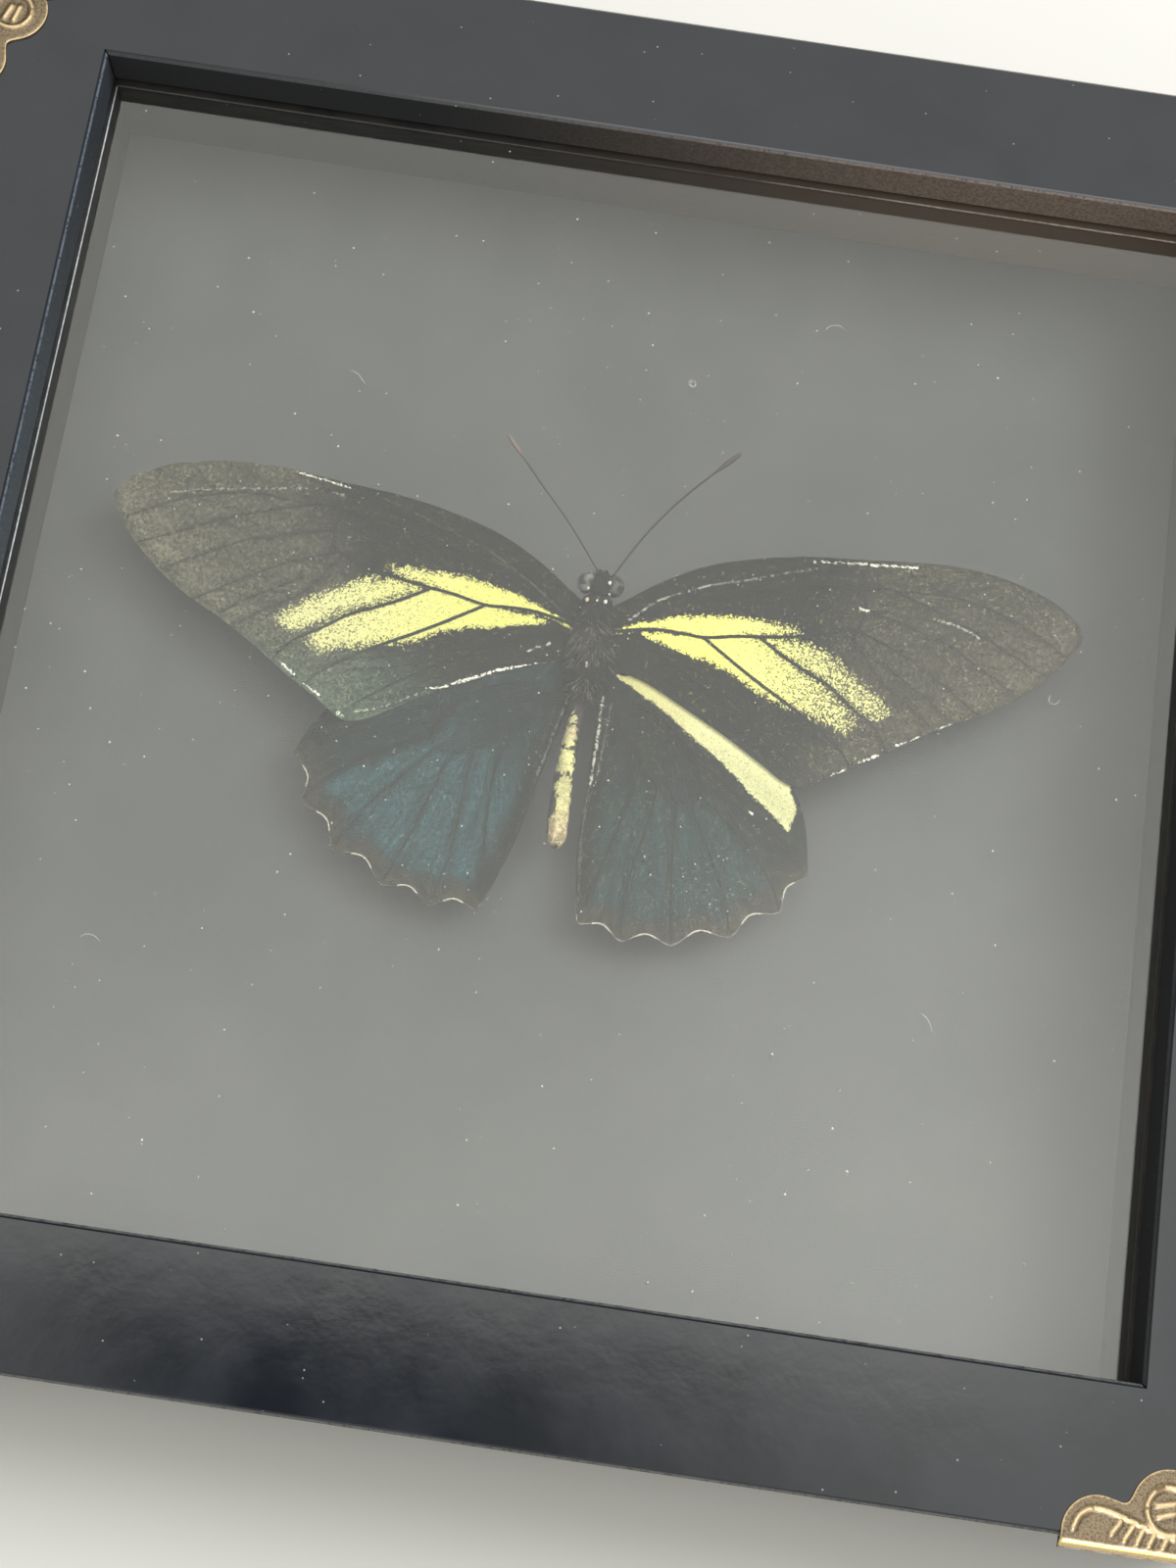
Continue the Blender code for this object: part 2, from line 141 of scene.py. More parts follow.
FOREWING_LEFT_PALE = [
    ([(15.6, -1.1), (13.5, -0.2), (11.2, 1.1), (9.6, 2.0), (6.1, 3.4), (3.4, 4.1)], 0.1, 1.0),
    ([(13.6, -0.2), (11.2, 1.1), (9.6, 2.0), (7.2, 3.0)], 0.14, 1.0),
    ([(24.0, -5.6), (20.0, -4.0), (15.6, -1.1)], 0.08, 0.35),
    ([(46.0, 15.6), (40.6, 17.1), (36.2, 17.8), (31.0, 18.8), (28.0, 18.6)], 0.08, 0.2),
    # a faint painted highlight along the subcostal vein
    ([(3.5, 9.8), (11.6, 15.0), (23.8, 19.0)], 0.07, 0.1),
    ([(33.5, 20.4), (30.6, 20.0), (27.4, 19.5)], 0.12, 0.8),
    ([(4.2, 6.2), (5.6, 5.5), (6.6, 4.8)], 0.09, 0.6),
    ([(26.6, -4.1), (28.6, -3.0)], 0.09, 0.9),
    ([(29.6, -2.3), (31.0, -1.4)], 0.1, 0.9),
    ([(24.0, -5.7), (24.6, -5.6)], 0.16, 0.8),
]
# The right hindwing -------------------------------------------------------------------
HINDWING_COSTA = [
    (2.2, 3.5), (4.6, 4.1), (8.6, 3.5), (14.0, 1.6), (19.5, -2.0), (23.4, -6.4), (25.2, -10.4),
    (25.9, -14.8),
]
HINDWING_TEETH = [
    (25.9, -14.8), (23.5, -19.2), (18.7, -22.7), (12.7, -24.5), (7.4, -24.8), (2.7, -23.5),
]
HINDWING_INNER = [
    (2.7, -23.5), (2.1, -20.0), (1.6, -14.5), (1.7, -9.0), (1.6, -3.5), (1.5, 0.8), (2.2, 3.5),
]
HINDWING_CELL = [
    (3.3, 0.4), (4.0, -1.6), (6.1, -4.6), (8.2, -7.1), (10.3, -8.7), (12.1, -9.2), (13.2, -8.8),
    (13.7, -7.4), (13.3, -6.0), (12.2, -3.7), (10.0, -1.5), (6.5, 0.6), (3.3, 0.4),
]
HINDWING_VEINS = [
    HINDWING_CELL,
    [(9.0, -7.8), (8.7, -10.5), (8.2, -13.6), (7.4, -18.4), (7.3, -24.0)],
    [(11.1, -9.0), (11.4, -13.1), (11.9, -18.8), (12.6, -24.0)],
    [(12.7, -9.2), (14.9, -13.3), (16.8, -16.9), (18.5, -22.0)],
    [(13.4, -8.2), (16.3, -10.1), (19.6, -13.0), (22.2, -16.4), (23.3, -18.8)],
    [(13.6, -6.8), (17.5, -8.6), (21.5, -11.2), (25.5, -14.6)],
    [(4.6, -2.4), (5.8, -5.4), (6.2, -9.3), (4.9, -15.3), (3.2, -21.4)],
    [(12.6, -4.4), (16.4, -6.6), (20.2, -9.6), (24.4, -12.6)],
]
HINDWING_STRIPE = [
    (3.0, 3.6), (4.8, 2.6), (6.3, 1.7), (8.4, 0.5), (11.0, -1.3), (13.8, -3.1), (16.3, -4.9),
    (18.9, -7.1), (21.4, -8.9), (23.2, -10.4), (23.5, -9.4), (23.8, -8.2), (23.0, -6.6), (21.0, -2.0),
    (14.0, 2.0), (8.0, 4.0),
]
HINDWING_PALE = [
    ([(1.9, 1.2), (2.0, -2.9), (2.0, -8.5)], 0.12, 0.55),
    ([(2.0, -8.5), (1.9, -14.7), (2.4, -20.0)], 0.08, 0.1),
    ([(2.9, 0.8), (2.8, -3.0), (2.5, -8.0)], 0.07, 0.15),
    ([(2.7, -23.1), (2.3, -22.3), (2.4, -21.5)], 0.1, 0.7),
]
HINDWING_RIGHT_PALE = [
    ([(18.6, -8.7), (19.2, -9.1), (19.8, -9.3)], 0.1, 0.9),
    ([(1.9, -20.2), (2.0, -21.2)], 0.14, 1.0),
]


# Plan geometry ------------------------------------------------------------------------

def smooth_line(points, steps=4):
    """A Catmull-Rom curve through an open row of points, as an array."""
    rows = np.array([points[0], *points, points[-1]], float)
    t = (np.arange(steps) / steps)[:, None]
    parts = []
    for p, q, r, s in zip(rows, rows[1:], rows[2:], rows[3:]):
        parts.append(0.5 * (2 * q + (r - p) * t + (2 * p - 5 * q + 4 * r - s) * t ** 2
                            + (3 * q - p - 3 * r + s) * t ** 3))
    return np.vstack([*parts, rows[-1:]])


def resampled(line, spacing):
    """The same row of points, spaced evenly."""
    steps = np.linalg.norm(np.diff(line, axis=0), axis=1)
    along = np.concatenate([[0], np.cumsum(steps)])
    count = max(2, int(along[-1] / spacing) + 1)
    places = np.linspace(0, along[-1], count)
    return np.column_stack([np.interp(places, along, line[:, axis]) for axis in range(line.shape[1])])


def arc(centre, radius, start, end, steps):
    """Points along a round stretch; the angles are in degrees."""
    angles = np.radians(np.linspace(start, end, steps + 1))
    return np.column_stack([centre[0] + radius * np.cos(angles), centre[1] + radius * np.sin(angles)])


def turned(points, quarter):
    """Plan points after a number of quarter turns about the middle."""
    for _ in range(quarter):
        points = np.column_stack([-points[:, 1], points[:, 0]])
    return points


def line_distance(points, line):
    """How far each point lies from an open row of points."""
    best = np.full(len(points), np.inf)
    for start, end in zip(line, line[1:]):
        along = end - start
        t = np.clip((points - start) @ along / max(along @ along, 1e-12), 0, 1)
        best = np.minimum(best, np.linalg.norm(points - start - t[:, None] * along, axis=1))
    return best


def inside(points, outline):
    """Whether each point lies inside a closed outline."""
    x, y = points.T
    crossed = np.zeros(len(points), bool)
    for (x0, y0), (x1, y1) in zip(outline, np.roll(outline, -1, 0)):
        if y0 != y1:
            spans = (y0 > y) != (y1 > y)
            crossed ^= spans & (x < (x1 - x0) * (y - y0) / (y1 - y0) + x0)
    return crossed


def depth_inside(points, outline):
    """How far each point lies inside a closed outline; outside it is below zero."""
    distance = line_distance(points, np.vstack([outline, outline[:1]]))
    return np.where(inside(points, outline), distance, -distance)


def ease(value, low, high):
    """0 below low, 1 above high and smooth between them."""
    t = np.clip((value - low) / (high - low), 0, 1)
    return t * t * (3 - 2 * t)


def bell(value, width):
    """1 where value is 0, falling off on both sides."""
    return np.exp(-(value / width) ** 2)


def ripple(points, scale, seed):
    """A smooth uneven surface from a few waves in fixed directions."""
    waves = np.random.default_rng(seed)
    total = np.zeros(len(points))
    for _ in range(7):
        angle, phase = waves.uniform(0, 2 * math.pi, 2)
        size = scale * waves.uniform(0.6, 1.7)
        along = points[:, 0] * math.cos(angle) + points[:, 1] * math.sin(angle)
        total += np.sin(along / size * 2 * math.pi + phase)
    return total / 7


def spread(points, turn, size):
    """A hindwing's points, turned and scaled about its root."""
    angle = math.radians(turn)
    rotation = size * np.array([[math.cos(angle), math.sin(angle)],
                                [-math.sin(angle), math.cos(angle)]])
    return (np.asarray(points, float) - ROOT) @ rotation + ROOT


# Meshes and pieces --------------------------------------------------------------------

def make_piece(name, points, faces, mat, slot, stands_for=(), sharp=None, **values):
    """A mesh object from points in millimetres that rides on the frame.

    Each further keyword holds a number for every point, which the material reads.
    """
    mesh = bpy.data.meshes.new(name)
    mesh.from_pydata((np.asarray(points, float) * MM).tolist(), [], faces)
    bm = bmesh.new()
    bm.from_mesh(mesh)
    bmesh.ops.recalc_face_normals(bm, faces=bm.faces)
    bm.to_mesh(mesh)
    bm.free()
    mesh.shade_smooth()
    if sharp is not None:
        mesh.set_sharp_from_angle(angle=math.radians(sharp))
    mesh.materials.append(mat)
    for key, numbers in values.items():
        attribute = mesh.attributes.new(key, "FLOAT", "POINT")
        attribute.data.foreach_set("value", np.asarray(numbers, np.float32))
    piece = bpy.data.objects.new(name, mesh)
    bpy.context.collection.objects.link(piece)
    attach(piece, "root")
    if stands_for:
        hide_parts(*stands_for)


def netted(outline, spacing):
    """Triangles over a flat outline: its own points and a hexagonal net inside it."""
    low, high = outline.min(0), outline.max(0)
    columns = np.arange(low[0], high[0], spacing)
    rows = np.arange(low[1], high[1], spacing * math.sqrt(0.75))
    x, y = np.meshgrid(columns, rows)
    x[1::2] += spacing / 2
    net = np.column_stack([x.ravel(), y.ravel()])
    net = net[depth_inside(net, outline) > spacing * 0.45]
    plan = [Vector(point) for point in (*outline.tolist(), *net.tolist())]
    made = geometry.delaunay_2d_cdt(plan, [], [list(range(len(outline)))], 1, 1e-5, False)
    plan, faces = np.array([tuple(point) for point in made[0]]), np.array(made[2])
    return plan, faces[inside(plan[faces].mean(1), outline)].tolist()


def shell(plan, faces, top, bottom):
    """The points and faces of a closed sheet between two heights over a flat net."""
    count = len(plan)
    points = np.vstack([np.column_stack([plan, top]), np.column_stack([plan, bottom])])
    edges = {(a, b) for face in faces for a, b in zip(face, face[1:] + face[:1])}
    sides = [[b, a, a + count, b + count] for a, b in sorted(edges) if (b, a) not in edges]
    under = [[index + count for index in reversed(face)] for face in faces]
    return points, faces + under + sides


def lofted(rings):
    """The points and faces of a closed skin over equal rings of points."""
    sides = len(rings[0])
    points = np.vstack(rings)
    faces = [list(range(sides)), list(range(len(points) - sides, len(points)))]
    for ring in range(len(rings) - 1):
        for side in range(sides):
            near, after = ring * sides + side, ring * sides + (side + 1) % sides
            faces.append([near, after, after + sides, near + sides])
    return points, faces


def tube_rings(route, radii, sides):
    """Rings of points square to a route."""
    route = np.asarray(route, float)
    ahead = np.gradient(route, axis=0)
    ahead /= np.linalg.norm(ahead, axis=1)[:, None]
    across = np.cross(ahead, (0.0, 0.13, 1.0))
    across /= np.linalg.norm(across, axis=1)[:, None]
    upright = np.cross(across, ahead)
    angles = np.linspace(0, 2 * math.pi, sides, endpoint=False)
    return [place + radius * (np.cos(angles)[:, None] * side + np.sin(angles)[:, None] * up)
            for place, radius, side, up in zip(route, radii, across, upright)]


def ball(centre, radii, across=16, high=10):
    """The points and faces of a closed egg shape."""
    rings = []
    for step in range(1, high):
        lift = math.pi * (step / high - 0.5)
        turn = np.linspace(0, 2 * math.pi, across, endpoint=False)
        ring = np.column_stack([np.cos(lift) * np.cos(turn), np.cos(lift) * np.sin(turn),
                                np.full(across, math.sin(lift))])
        rings.append(ring * radii + centre)
    return lofted(rings)


def joined(parts):
    """Several sets of points and faces as one."""
    points, faces, count = [], [], 0
    for part_points, part_faces in parts:
        points.append(np.asarray(part_points, float))
        faces += [[index + count for index in face] for face in part_faces]
        count += len(part_points)
    return np.vstack(points), faces


HAIR_POINTS = 7


def hairs(roots, ways, lengths, widths, droop):
    """Tapered three-sided hairs that bend downwards; each has HAIR_POINTS points."""
    ways = ways / np.linalg.norm(ways, axis=1)[:, None]
    across = np.cross(ways, (0.31, 0.17, 0.93))
    across /= np.linalg.norm(across, axis=1)[:, None]
    other = np.cross(ways, across)
    down = np.array([0.0, 0.0, -1.0])
    middle = roots + ways * (lengths * 0.5)[:, None] + down * (lengths * droop * 0.2)[:, None]
    tip = roots + ways * lengths[:, None] + down * (lengths * droop)[:, None]
    points, faces = [], []
    for start, share in ((roots, 0.5), (middle, 0.38)):
        for turn in range(3):
            angle = turn * 2 * math.pi / 3
            aside = across * math.cos(angle) + other * math.sin(angle)
            points.append(start + aside * widths[:, None] * share)
    points.append(tip)
    stacked = np.stack(points, axis=1).reshape(-1, 3)
    for hair in range(len(roots)):
        first = hair * HAIR_POINTS
        faces.append([first, first + 1, first + 2])
        for turn in range(3):
            a, b = first + turn, first + (turn + 1) % 3
            faces.append([a, b, b + 3, a + 3])
            faces.append([a + 3, b + 3, first + 6])
    return stacked, faces


# Shader building ----------------------------------------------------------------------

class Nodes:
    """A node tree with short calls for the nodes that materials and world share."""

    def __init__(self, tree):
        self.tree = tree

    def add(self, kind, links=None, **settings):
        """A node: settings are its properties, links its inputs by name or number."""
        node = self.tree.nodes.new(kind)
        for key, value in settings.items():
            setattr(node, key, value)
        for key, value in (links or {}).items():
            self.feed(node.inputs[key], value)
        return node

    def feed(self, socket, value):
        if isinstance(value, bpy.types.NodeSocket):
            self.tree.links.new(value, socket)
        elif hasattr(value, "__len__") and len(value) == 3 and socket.type == "RGBA":
            socket.default_value = (*value, 1.0)
        else:
            socket.default_value = value

    def math(self, operation, *values, clamp=False):
        node = self.add("ShaderNodeMath", operation=operation, use_clamp=clamp)
        for socket, value in zip(node.inputs, values):
            self.feed(socket, value)
        return node.outputs[0]

    def times(self, first, second, clamp=False):
        return self.math("MULTIPLY", first, second, clamp=clamp)

    def range(self, value, low, high, to_low=0.0, to_high=1.0):
        """A smooth step from to_low to to_high as value goes from low to high."""
        node = self.add("ShaderNodeMapRange", {0: value, 1: low, 2: high, 3: to_low, 4: to_high},
                        interpolation_type="SMOOTHSTEP")
        return node.outputs[0]


class Shader(Nodes):
    """A material on the principled surface, placed by the piece's own coordinates."""

    def __init__(self, name):
        self.material = bpy.data.materials.new(name)
        self.material.use_nodes = True
        super().__init__(self.material.node_tree)
        self.surface = self.tree.nodes["Principled BSDF"]
        self.place = self.add("ShaderNodeTexCoord").outputs["Object"]

    def set(self, **values):
        """The surface's own inputs, with _ for the spaces in their names."""
        for key, value in values.items():
            self.feed(self.surface.inputs[key.replace("_", " ")], value)

    def value(self, name):
        """The numbers that a piece was given under a name."""
        return self.add("ShaderNodeAttribute", attribute_name=name).outputs["Fac"]

    def mix(self, share, first, second, blend="MIX"):
        node = self.add("ShaderNodeMix", data_type="RGBA", blend_type=blend)
        self.feed(node.inputs[0], share)
        self.feed(node.inputs[6], first)
        self.feed(node.inputs[7], second)
        return node.outputs[2]

    def shaded(self, colour, shade):
        """A colour made darker or lighter by a number."""
        grey = self.add("ShaderNodeCombineColor", {0: shade, 1: shade, 2: shade}).outputs[0]
        return self.mix(1.0, colour, grey, "MULTIPLY")

    def noise(self, size, detail=2.0, roughness=0.5, stretch=None):
        """Noise whose features are about size millimetres wide; its middle is 0.5."""
        place = self.place
        if stretch:
            place = self.add("ShaderNodeMapping", {0: place, 3: stretch}).outputs[0]
        node = self.add("ShaderNodeTexNoise", {"Vector": place, "Scale": 1 / (size * MM),
                                               "Detail": detail, "Roughness": roughness})
        return node.outputs[0]

    def lit_part(self):
        """How far along the top side's lit right part a place is."""
        x, y, _ = self.add("ShaderNodeSeparateXYZ", {0: self.place}).outputs
        top = self.math("GREATER_THAN", y, self.math("ABSOLUTE", x))
        return self.times(top, self.range(x, -0.03, 0.045))

    def grains(self, size):
        """Two random numbers for each small cell, and the distance from its middle."""
        node = self.add("ShaderNodeTexVoronoi", {"Vector": self.place, "Scale": 1 / (size * MM)})
        first, second, _ = self.add("ShaderNodeSeparateColor", {0: node.outputs["Color"]}).outputs
        return first, second, node.outputs["Distance"]

    def bump(self, height, depth, strength=1.0):
        """Relief of a depth in millimetres, for the surface's normal."""
        node = self.add("ShaderNodeBump", {"Strength": strength, "Distance": depth * MM,
                                           "Height": height})
        return node.outputs[0]


def wing_material(name, ground, ends, sheen_colour, yellow, yellow_end):
    """Rows of fine scales: dark ground, speckled patches, veins and pale lines."""
    s = Shader(name)
    grain, other, edge = s.grains(0.15)
    coarse = s.noise(1.6, 4.0, 0.6)
    streak = s.noise(0.5, 3.0, 0.6)
    fan = s.add("ShaderNodeCombineXYZ", {0: s.value("around"), 1: s.value("outward")}).outputs[0]
    folds = s.add("ShaderNodeTexNoise", {"Vector": fan, "Scale": 1.0, "Detail": 4.0}).outputs[0]
    colour = s.mix(s.value("distal"), ground, ends)
    sheen = s.times(s.value("sheen"), s.range(folds, 0.25, 0.72, 0.72, 1.1), clamp=True)
    colour = s.mix(sheen, colour, sheen_colour)
    shade = s.times(s.range(folds, 0.3, 0.7, 0.75, 1.25), s.range(grain, 0, 1, 0.4, 1.6))
    shade = s.times(shade, s.range(streak, 0.3, 0.7, 0.7, 1.3))
    colour = s.shaded(colour, shade)
    vein = s.value("vein")
    dusting = s.times(s.value("dusting"), s.range(streak, 0.42, 0.72))
    dusty = s.times(s.math("LESS_THAN", other, dusting), 0.75)
    colour = s.mix(dusty, colour, (0.17, 0.16, 0.13))
    colour = s.mix(s.range(vein, 0.05, 0.22, 0.65, 0.0), colour, (0.004, 0.004, 0.004))
    between = s.range(vein, 0.1, 0.26)
    cover = s.times(s.value("cover"), between)
    colour = s.mix(s.range(cover, 0.1, 1.0, 0.0, 0.75), colour, (0.2, 0.18, 0.06))
    lit = s.math("MULTIPLY_ADD", s.math("SUBTRACT", cover, grain), 5.0, 0.5, clamp=True)
    worn = s.math("MULTIPLY_ADD", other, 0.3, s.value("fading"), clamp=True)
    gold = s.mix(worn, yellow, yellow_end)
    gold = s.mix(s.range(edge, 0.3, 0.7, 0.0, 0.4), gold, (0.4, 0.36, 0.1))
    colour = s.mix(s.times(lit, between), colour, gold)
    ragged = s.math("ADD", s.range(grain, 0, 1, -0.08, 0.06), s.range(streak, 0.3, 0.7, -0.1, 0.08))
    line = s.range(s.math("ADD", s.value("pale"), ragged), -0.03, 0.05)
    colour = s.mix(s.times(line, s.value("paleness")), colour, (0.8, 0.78, 0.66))
    height = s.math("MULTIPLY_ADD", s.range(edge, 0.0, 0.7, 1.0, 0.0), 0.3, folds)
    s.set(Base_Color=colour, Roughness=s.range(coarse, 0.2, 0.8, 0.62, 0.78),
          Specular_IOR_Level=0.06, Normal=s.bump(height, 0.06, 0.6))
    return s.material


def fur_material():
    """Hair and body: near black with olive, tan and pale hairs among it."""
    s = Shader("body_fur")
    tone = s.value("tone")
    spots = s.noise(0.7, 3.0, 0.6)
    colour = s.mix(s.range(tone, 0.22, 0.68), (0.005, 0.0045, 0.004), (0.11, 0.1, 0.068))
    colour = s.mix(s.range(tone, 0.7, 0.95), colour, (0.46, 0.42, 0.33))
    colour = s.mix(s.range(spots, 0.35, 0.7, 0.45, 0.0), colour, (0.004, 0.004, 0.004))
    s.set(Base_Color=colour, Roughness=s.range(spots, 0.2, 0.8, 0.45, 0.7), Specular_IOR_Level=0.15,
          Normal=s.bump(spots, 0.05, 0.5))
    return s.material


def eye_material():
    """Glossy brown-black facets under a grey haze of painted reflection, as strong as the tone."""
    s = Shader("eye")
    edge = s.grains(0.09)[2]
    haze = s.range(s.noise(0.9, 1.0), 0.35, 0.68)
    colour = s.mix(s.times(haze, s.value("tone")), (0.012, 0.01, 0.009), (0.16, 0.16, 0.16))
    s.set(Base_Color=colour, Roughness=s.range(haze, 0, 1, 0.22, 0.5),
          Normal=s.bump(s.range(edge, 0, 0.7, 1, 0), 0.02, 0.5))
    return s.material


def toned_material(name, spots, dark, pale, fleck, flecked, rough, **more):
    """Between two colours by the piece's tone, with flecks of a third colour.

    spots is the flecks' noise; flecked is where in it they fade out, and their strength.
    """
    s = Shader(name)
    spots = s.noise(*spots)
    low, high, strength = flecked
    colour = s.mix(s.value("tone"), dark, pale)
    colour = s.mix(s.range(spots, low, high, strength, 0.0), colour, fleck)
    s.set(Base_Color=colour, Roughness=s.range(spots, 0.2, 0.8, *rough), **more)
    return s.material


def tuft_material():
    """White, cream and tan scales in small tufts, bars and fringes."""
    return toned_material("pale_tufts", (0.25, 3.0, 0.6), (0.42, 0.33, 0.2), (0.85, 0.83, 0.72),
                          (0.3, 0.27, 0.2), (0.3, 0.6, 0.4), (0.65, 0.85), Specular_IOR_Level=0.2)


def antenna_material():
    """Dark ringed bristle; by its tone the club turns a paler, pinkish brown, a painted highlight."""
    return toned_material("antenna_black", (0.2, 2.0), (0.014, 0.012, 0.01), (0.2, 0.15, 0.13),
                          (0.02, 0.016, 0.014), (0.4, 0.65, 0.3), (0.4, 0.6), Specular_IOR_Level=0.4)


def lint_material():
    """Dust and lint: off-white crumbs and threads."""
    return toned_material("lint", (0.3, 2.0), (0.2, 0.19, 0.17), (0.8, 0.79, 0.75),
                          (0.35, 0.33, 0.3), (0.35, 0.65, 0.35), (0.8, 0.95))


def abdomen_material():
    """Black scales with a worn pale yellow strip that turns tan at the tip."""
    s = Shader("abdomen_scales")
    grain, _, edge = s.grains(0.16)
    worn = s.noise(0.55, 4.0, 0.65)
    blotch = s.noise(1.5, 3.0, 0.6)
    uneven = s.math("SUBTRACT", worn, 0.5)
    strip = s.math("MULTIPLY_ADD", uneven, 1.9, s.value("strip"))
    mark = s.math("MULTIPLY_ADD", uneven, 2.2, s.value("mark"))
    lit = s.times(s.range(strip, -0.06, 0.06), s.range(mark, -0.04, 0.06, 1.0, 0.0))
    yellow = s.mix(s.range(blotch, 0.4, 0.62), (0.66, 0.65, 0.27), (0.48, 0.44, 0.2))
    tan = s.mix(s.range(worn, 0.4, 0.62), (0.62, 0.52, 0.3), (0.33, 0.24, 0.12))
    yellow = s.mix(s.value("tip"), yellow, tan)
    cracks = s.range(s.math("ABSOLUTE", s.math("SUBTRACT", blotch, 0.5)), 0.0, 0.035, 0.6, 0.0)
    yellow = s.mix(s.times(cracks, s.value("tip")), yellow, (0.06, 0.045, 0.03))
    yellow = s.shaded(yellow, s.range(grain, 0, 1, 0.75, 1.15))
    dark = s.mix(s.range(worn, 0.4, 0.7), (0.012, 0.011, 0.009), (0.05, 0.046, 0.038))
    s.set(Base_Color=s.mix(lit, dark, yellow), Roughness=s.range(worn, 0.3, 0.7, 0.55, 0.75),
          Specular_IOR_Level=0.25, Normal=s.bump(s.math("ADD", worn, edge), 0.05, 0.5))
    return s.material


def card_material():
    """Black card: matt, a little mottled, with fine pale lint in its surface."""
    s = Shader("black_card")
    grain, _, edge = s.grains(0.35)
    mottle = s.noise(14.0, 4.0, 0.55)
    tooth = s.noise(0.7, 2.0, 0.5)
    colour = s.mix(s.range(mottle, 0.3, 0.7), (0.048, 0.052, 0.051), (0.064, 0.067, 0.065))
    colour = s.mix(s.range(tooth, 0.35, 0.7, 0.0, 0.25), colour, (0.1, 0.1, 0.095))
    lint = s.times(s.math("GREATER_THAN", grain, 0.9975), s.range(edge, 0.15, 0.3, 0.7, 0.0))
    colour = s.mix(lint, colour, (0.6, 0.6, 0.56))
    s.set(Base_Color=colour, Roughness=s.range(tooth, 0.2, 0.8, 0.5, 0.62), Specular_IOR_Level=0.5,
          Normal=s.bump(tooth, 0.02, 0.3))
    return s.material


def lacquer_material():
    """Black satin lacquer on wood: faint grain, fine dust, arrises rubbed and painted with highlight, inner
    walls painted with light.
    """
    s = Shader("black_lacquer")
    grain, _, edge = s.grains(0.45)
    cloud = s.noise(9.0, 4.0, 0.55)
    fine = s.noise(0.35, 3.0, 0.65)
    colour = s.mix(s.range(cloud, 0.3, 0.7), (0.0045, 0.0065, 0.0105), (0.0075, 0.01, 0.016))
    x, y, z = s.add("ShaderNodeSeparateXYZ", {0: s.place}).outputs
    wide, high = s.math("ABSOLUTE", x), s.math("ABSOLUTE", y)
    reach = s.math("MAXIMUM", wide, high)
    top_right = s.lit_part()
    left = s.math("GREATER_THAN", s.times(x, -1.0), high)
    bottom = s.math("LESS_THAN", y, s.times(wide, -1.0))
    wall = s.times(s.range(reach, (SPACER_FACE + 0.1) * MM, (SPACER_FACE + 0.3) * MM, 1.0, 0.0),
                  s.range(z, (FRAME_TOP - 0.5) * MM, (FRAME_TOP - 0.35) * MM, 1.0, 0.0))
    # Painted light on the inner walls: lit brown on the top side's right part, and on the left a lit bluish
    # colour that darkens towards the top.
    wall_painted_light = s.mix(top_right, (0.02, 0.021, 0.025), (0.35, 0.265, 0.21))
    shaded = s.mix(s.range(y, 0.0, 0.055), (0.083, 0.1, 0.118), (0.034, 0.04, 0.05))
    wall_painted_light = s.mix(left, wall_painted_light, shaded)
    wall_painted_light = s.mix(s.range(fine, 0.35, 0.65, 0.45, 0.0), wall_painted_light, (0.012, 0.012, 0.013))
    colour = s.mix(wall, colour, wall_painted_light)
    arris = s.math("MINIMUM", s.math("SUBTRACT", OUTER * MM, reach),
                   s.math("SUBTRACT", reach, SPACER_FACE * MM))
    worn = s.times(s.range(arris, 0.0, 0.5 * MM, 1.0, 0.0),
                  s.range(z, (FRAME_TOP - 0.6) * MM, (FRAME_TOP - 0.2) * MM))
    rubbed = s.times(s.range(worn, 0.4, 0.9, 0.0, 0.9), s.range(fine, 0.3, 0.55))
    # The arris colour is a painted highlight by side: brown on the top's right part, bluish on the left,
    # grey at the bottom; the noisy mask is wear.
    bare = s.mix(top_right, (0.03, 0.03, 0.03), (0.26, 0.18, 0.14))
    bare = s.mix(left, bare, (0.13, 0.16, 0.2))
    bare = s.mix(bottom, bare, (0.14, 0.14, 0.14))
    colour = s.mix(rubbed, colour, bare)
    dust = s.times(s.math("GREATER_THAN", grain, 0.992), s.range(edge, 0.1, 0.3, 0.6, 0.0))
    colour = s.mix(dust, colour, (0.4, 0.39, 0.36))
    dull = s.math("MULTIPLY_ADD", s.math("MAXIMUM", worn, wall), 0.55,
                  s.range(cloud, 0.3, 0.7, 0.09, 0.13))
    s.set(Base_Color=colour, Roughness=dull, Specular_IOR_Level=0.58,
          Normal=s.bump(s.math("ADD", cloud, s.times(fine, 0.05)), 0.1, 0.3))
    return s.material


def brass_material():
    """Stamped brass gone dull: brown in the hollows, rubbed bright on the raised lines; painted highlight on
    rim and bend, painted shade on the flanges.
    """
    s = Shader("aged_brass")
    cloud = s.noise(2.4, 5.0, 0.65)
    fine = s.noise(0.22, 3.0, 0.7)
    relief = s.value("relief")
    colour = s.mix(s.range(relief, 0.05, 0.7), (0.26, 0.2, 0.135), (0.74, 0.55, 0.33))
    colour = s.mix(s.range(cloud, 0.45, 0.75, 0.0, 0.3), colour, (0.3, 0.22, 0.13))
    speckle = s.times(s.range(fine, 0.44, 0.62, 0.0, 0.75), s.range(relief, 0.1, 0.7, 1.0, 0.2))
    colour = s.mix(speckle, colour, (0.08, 0.065, 0.045))
    # Painted highlight: numbers above 1, on the bend's lip, turn bright yellow.
    colour = s.mix(s.range(relief, 1.0, 1.3), colour, (0.98, 0.87, 0.25))
    dull = s.math("MULTIPLY_ADD", cloud, 0.16, s.range(relief, 0.2, 1.2, 0.32, 0.2))
    s.set(Base_Color=colour, Metallic=s.range(fine, 0.6, 0.8, 1.0, 0.7), Roughness=dull,
          Normal=s.bump(fine, 0.03, 0.35))
    return s.material


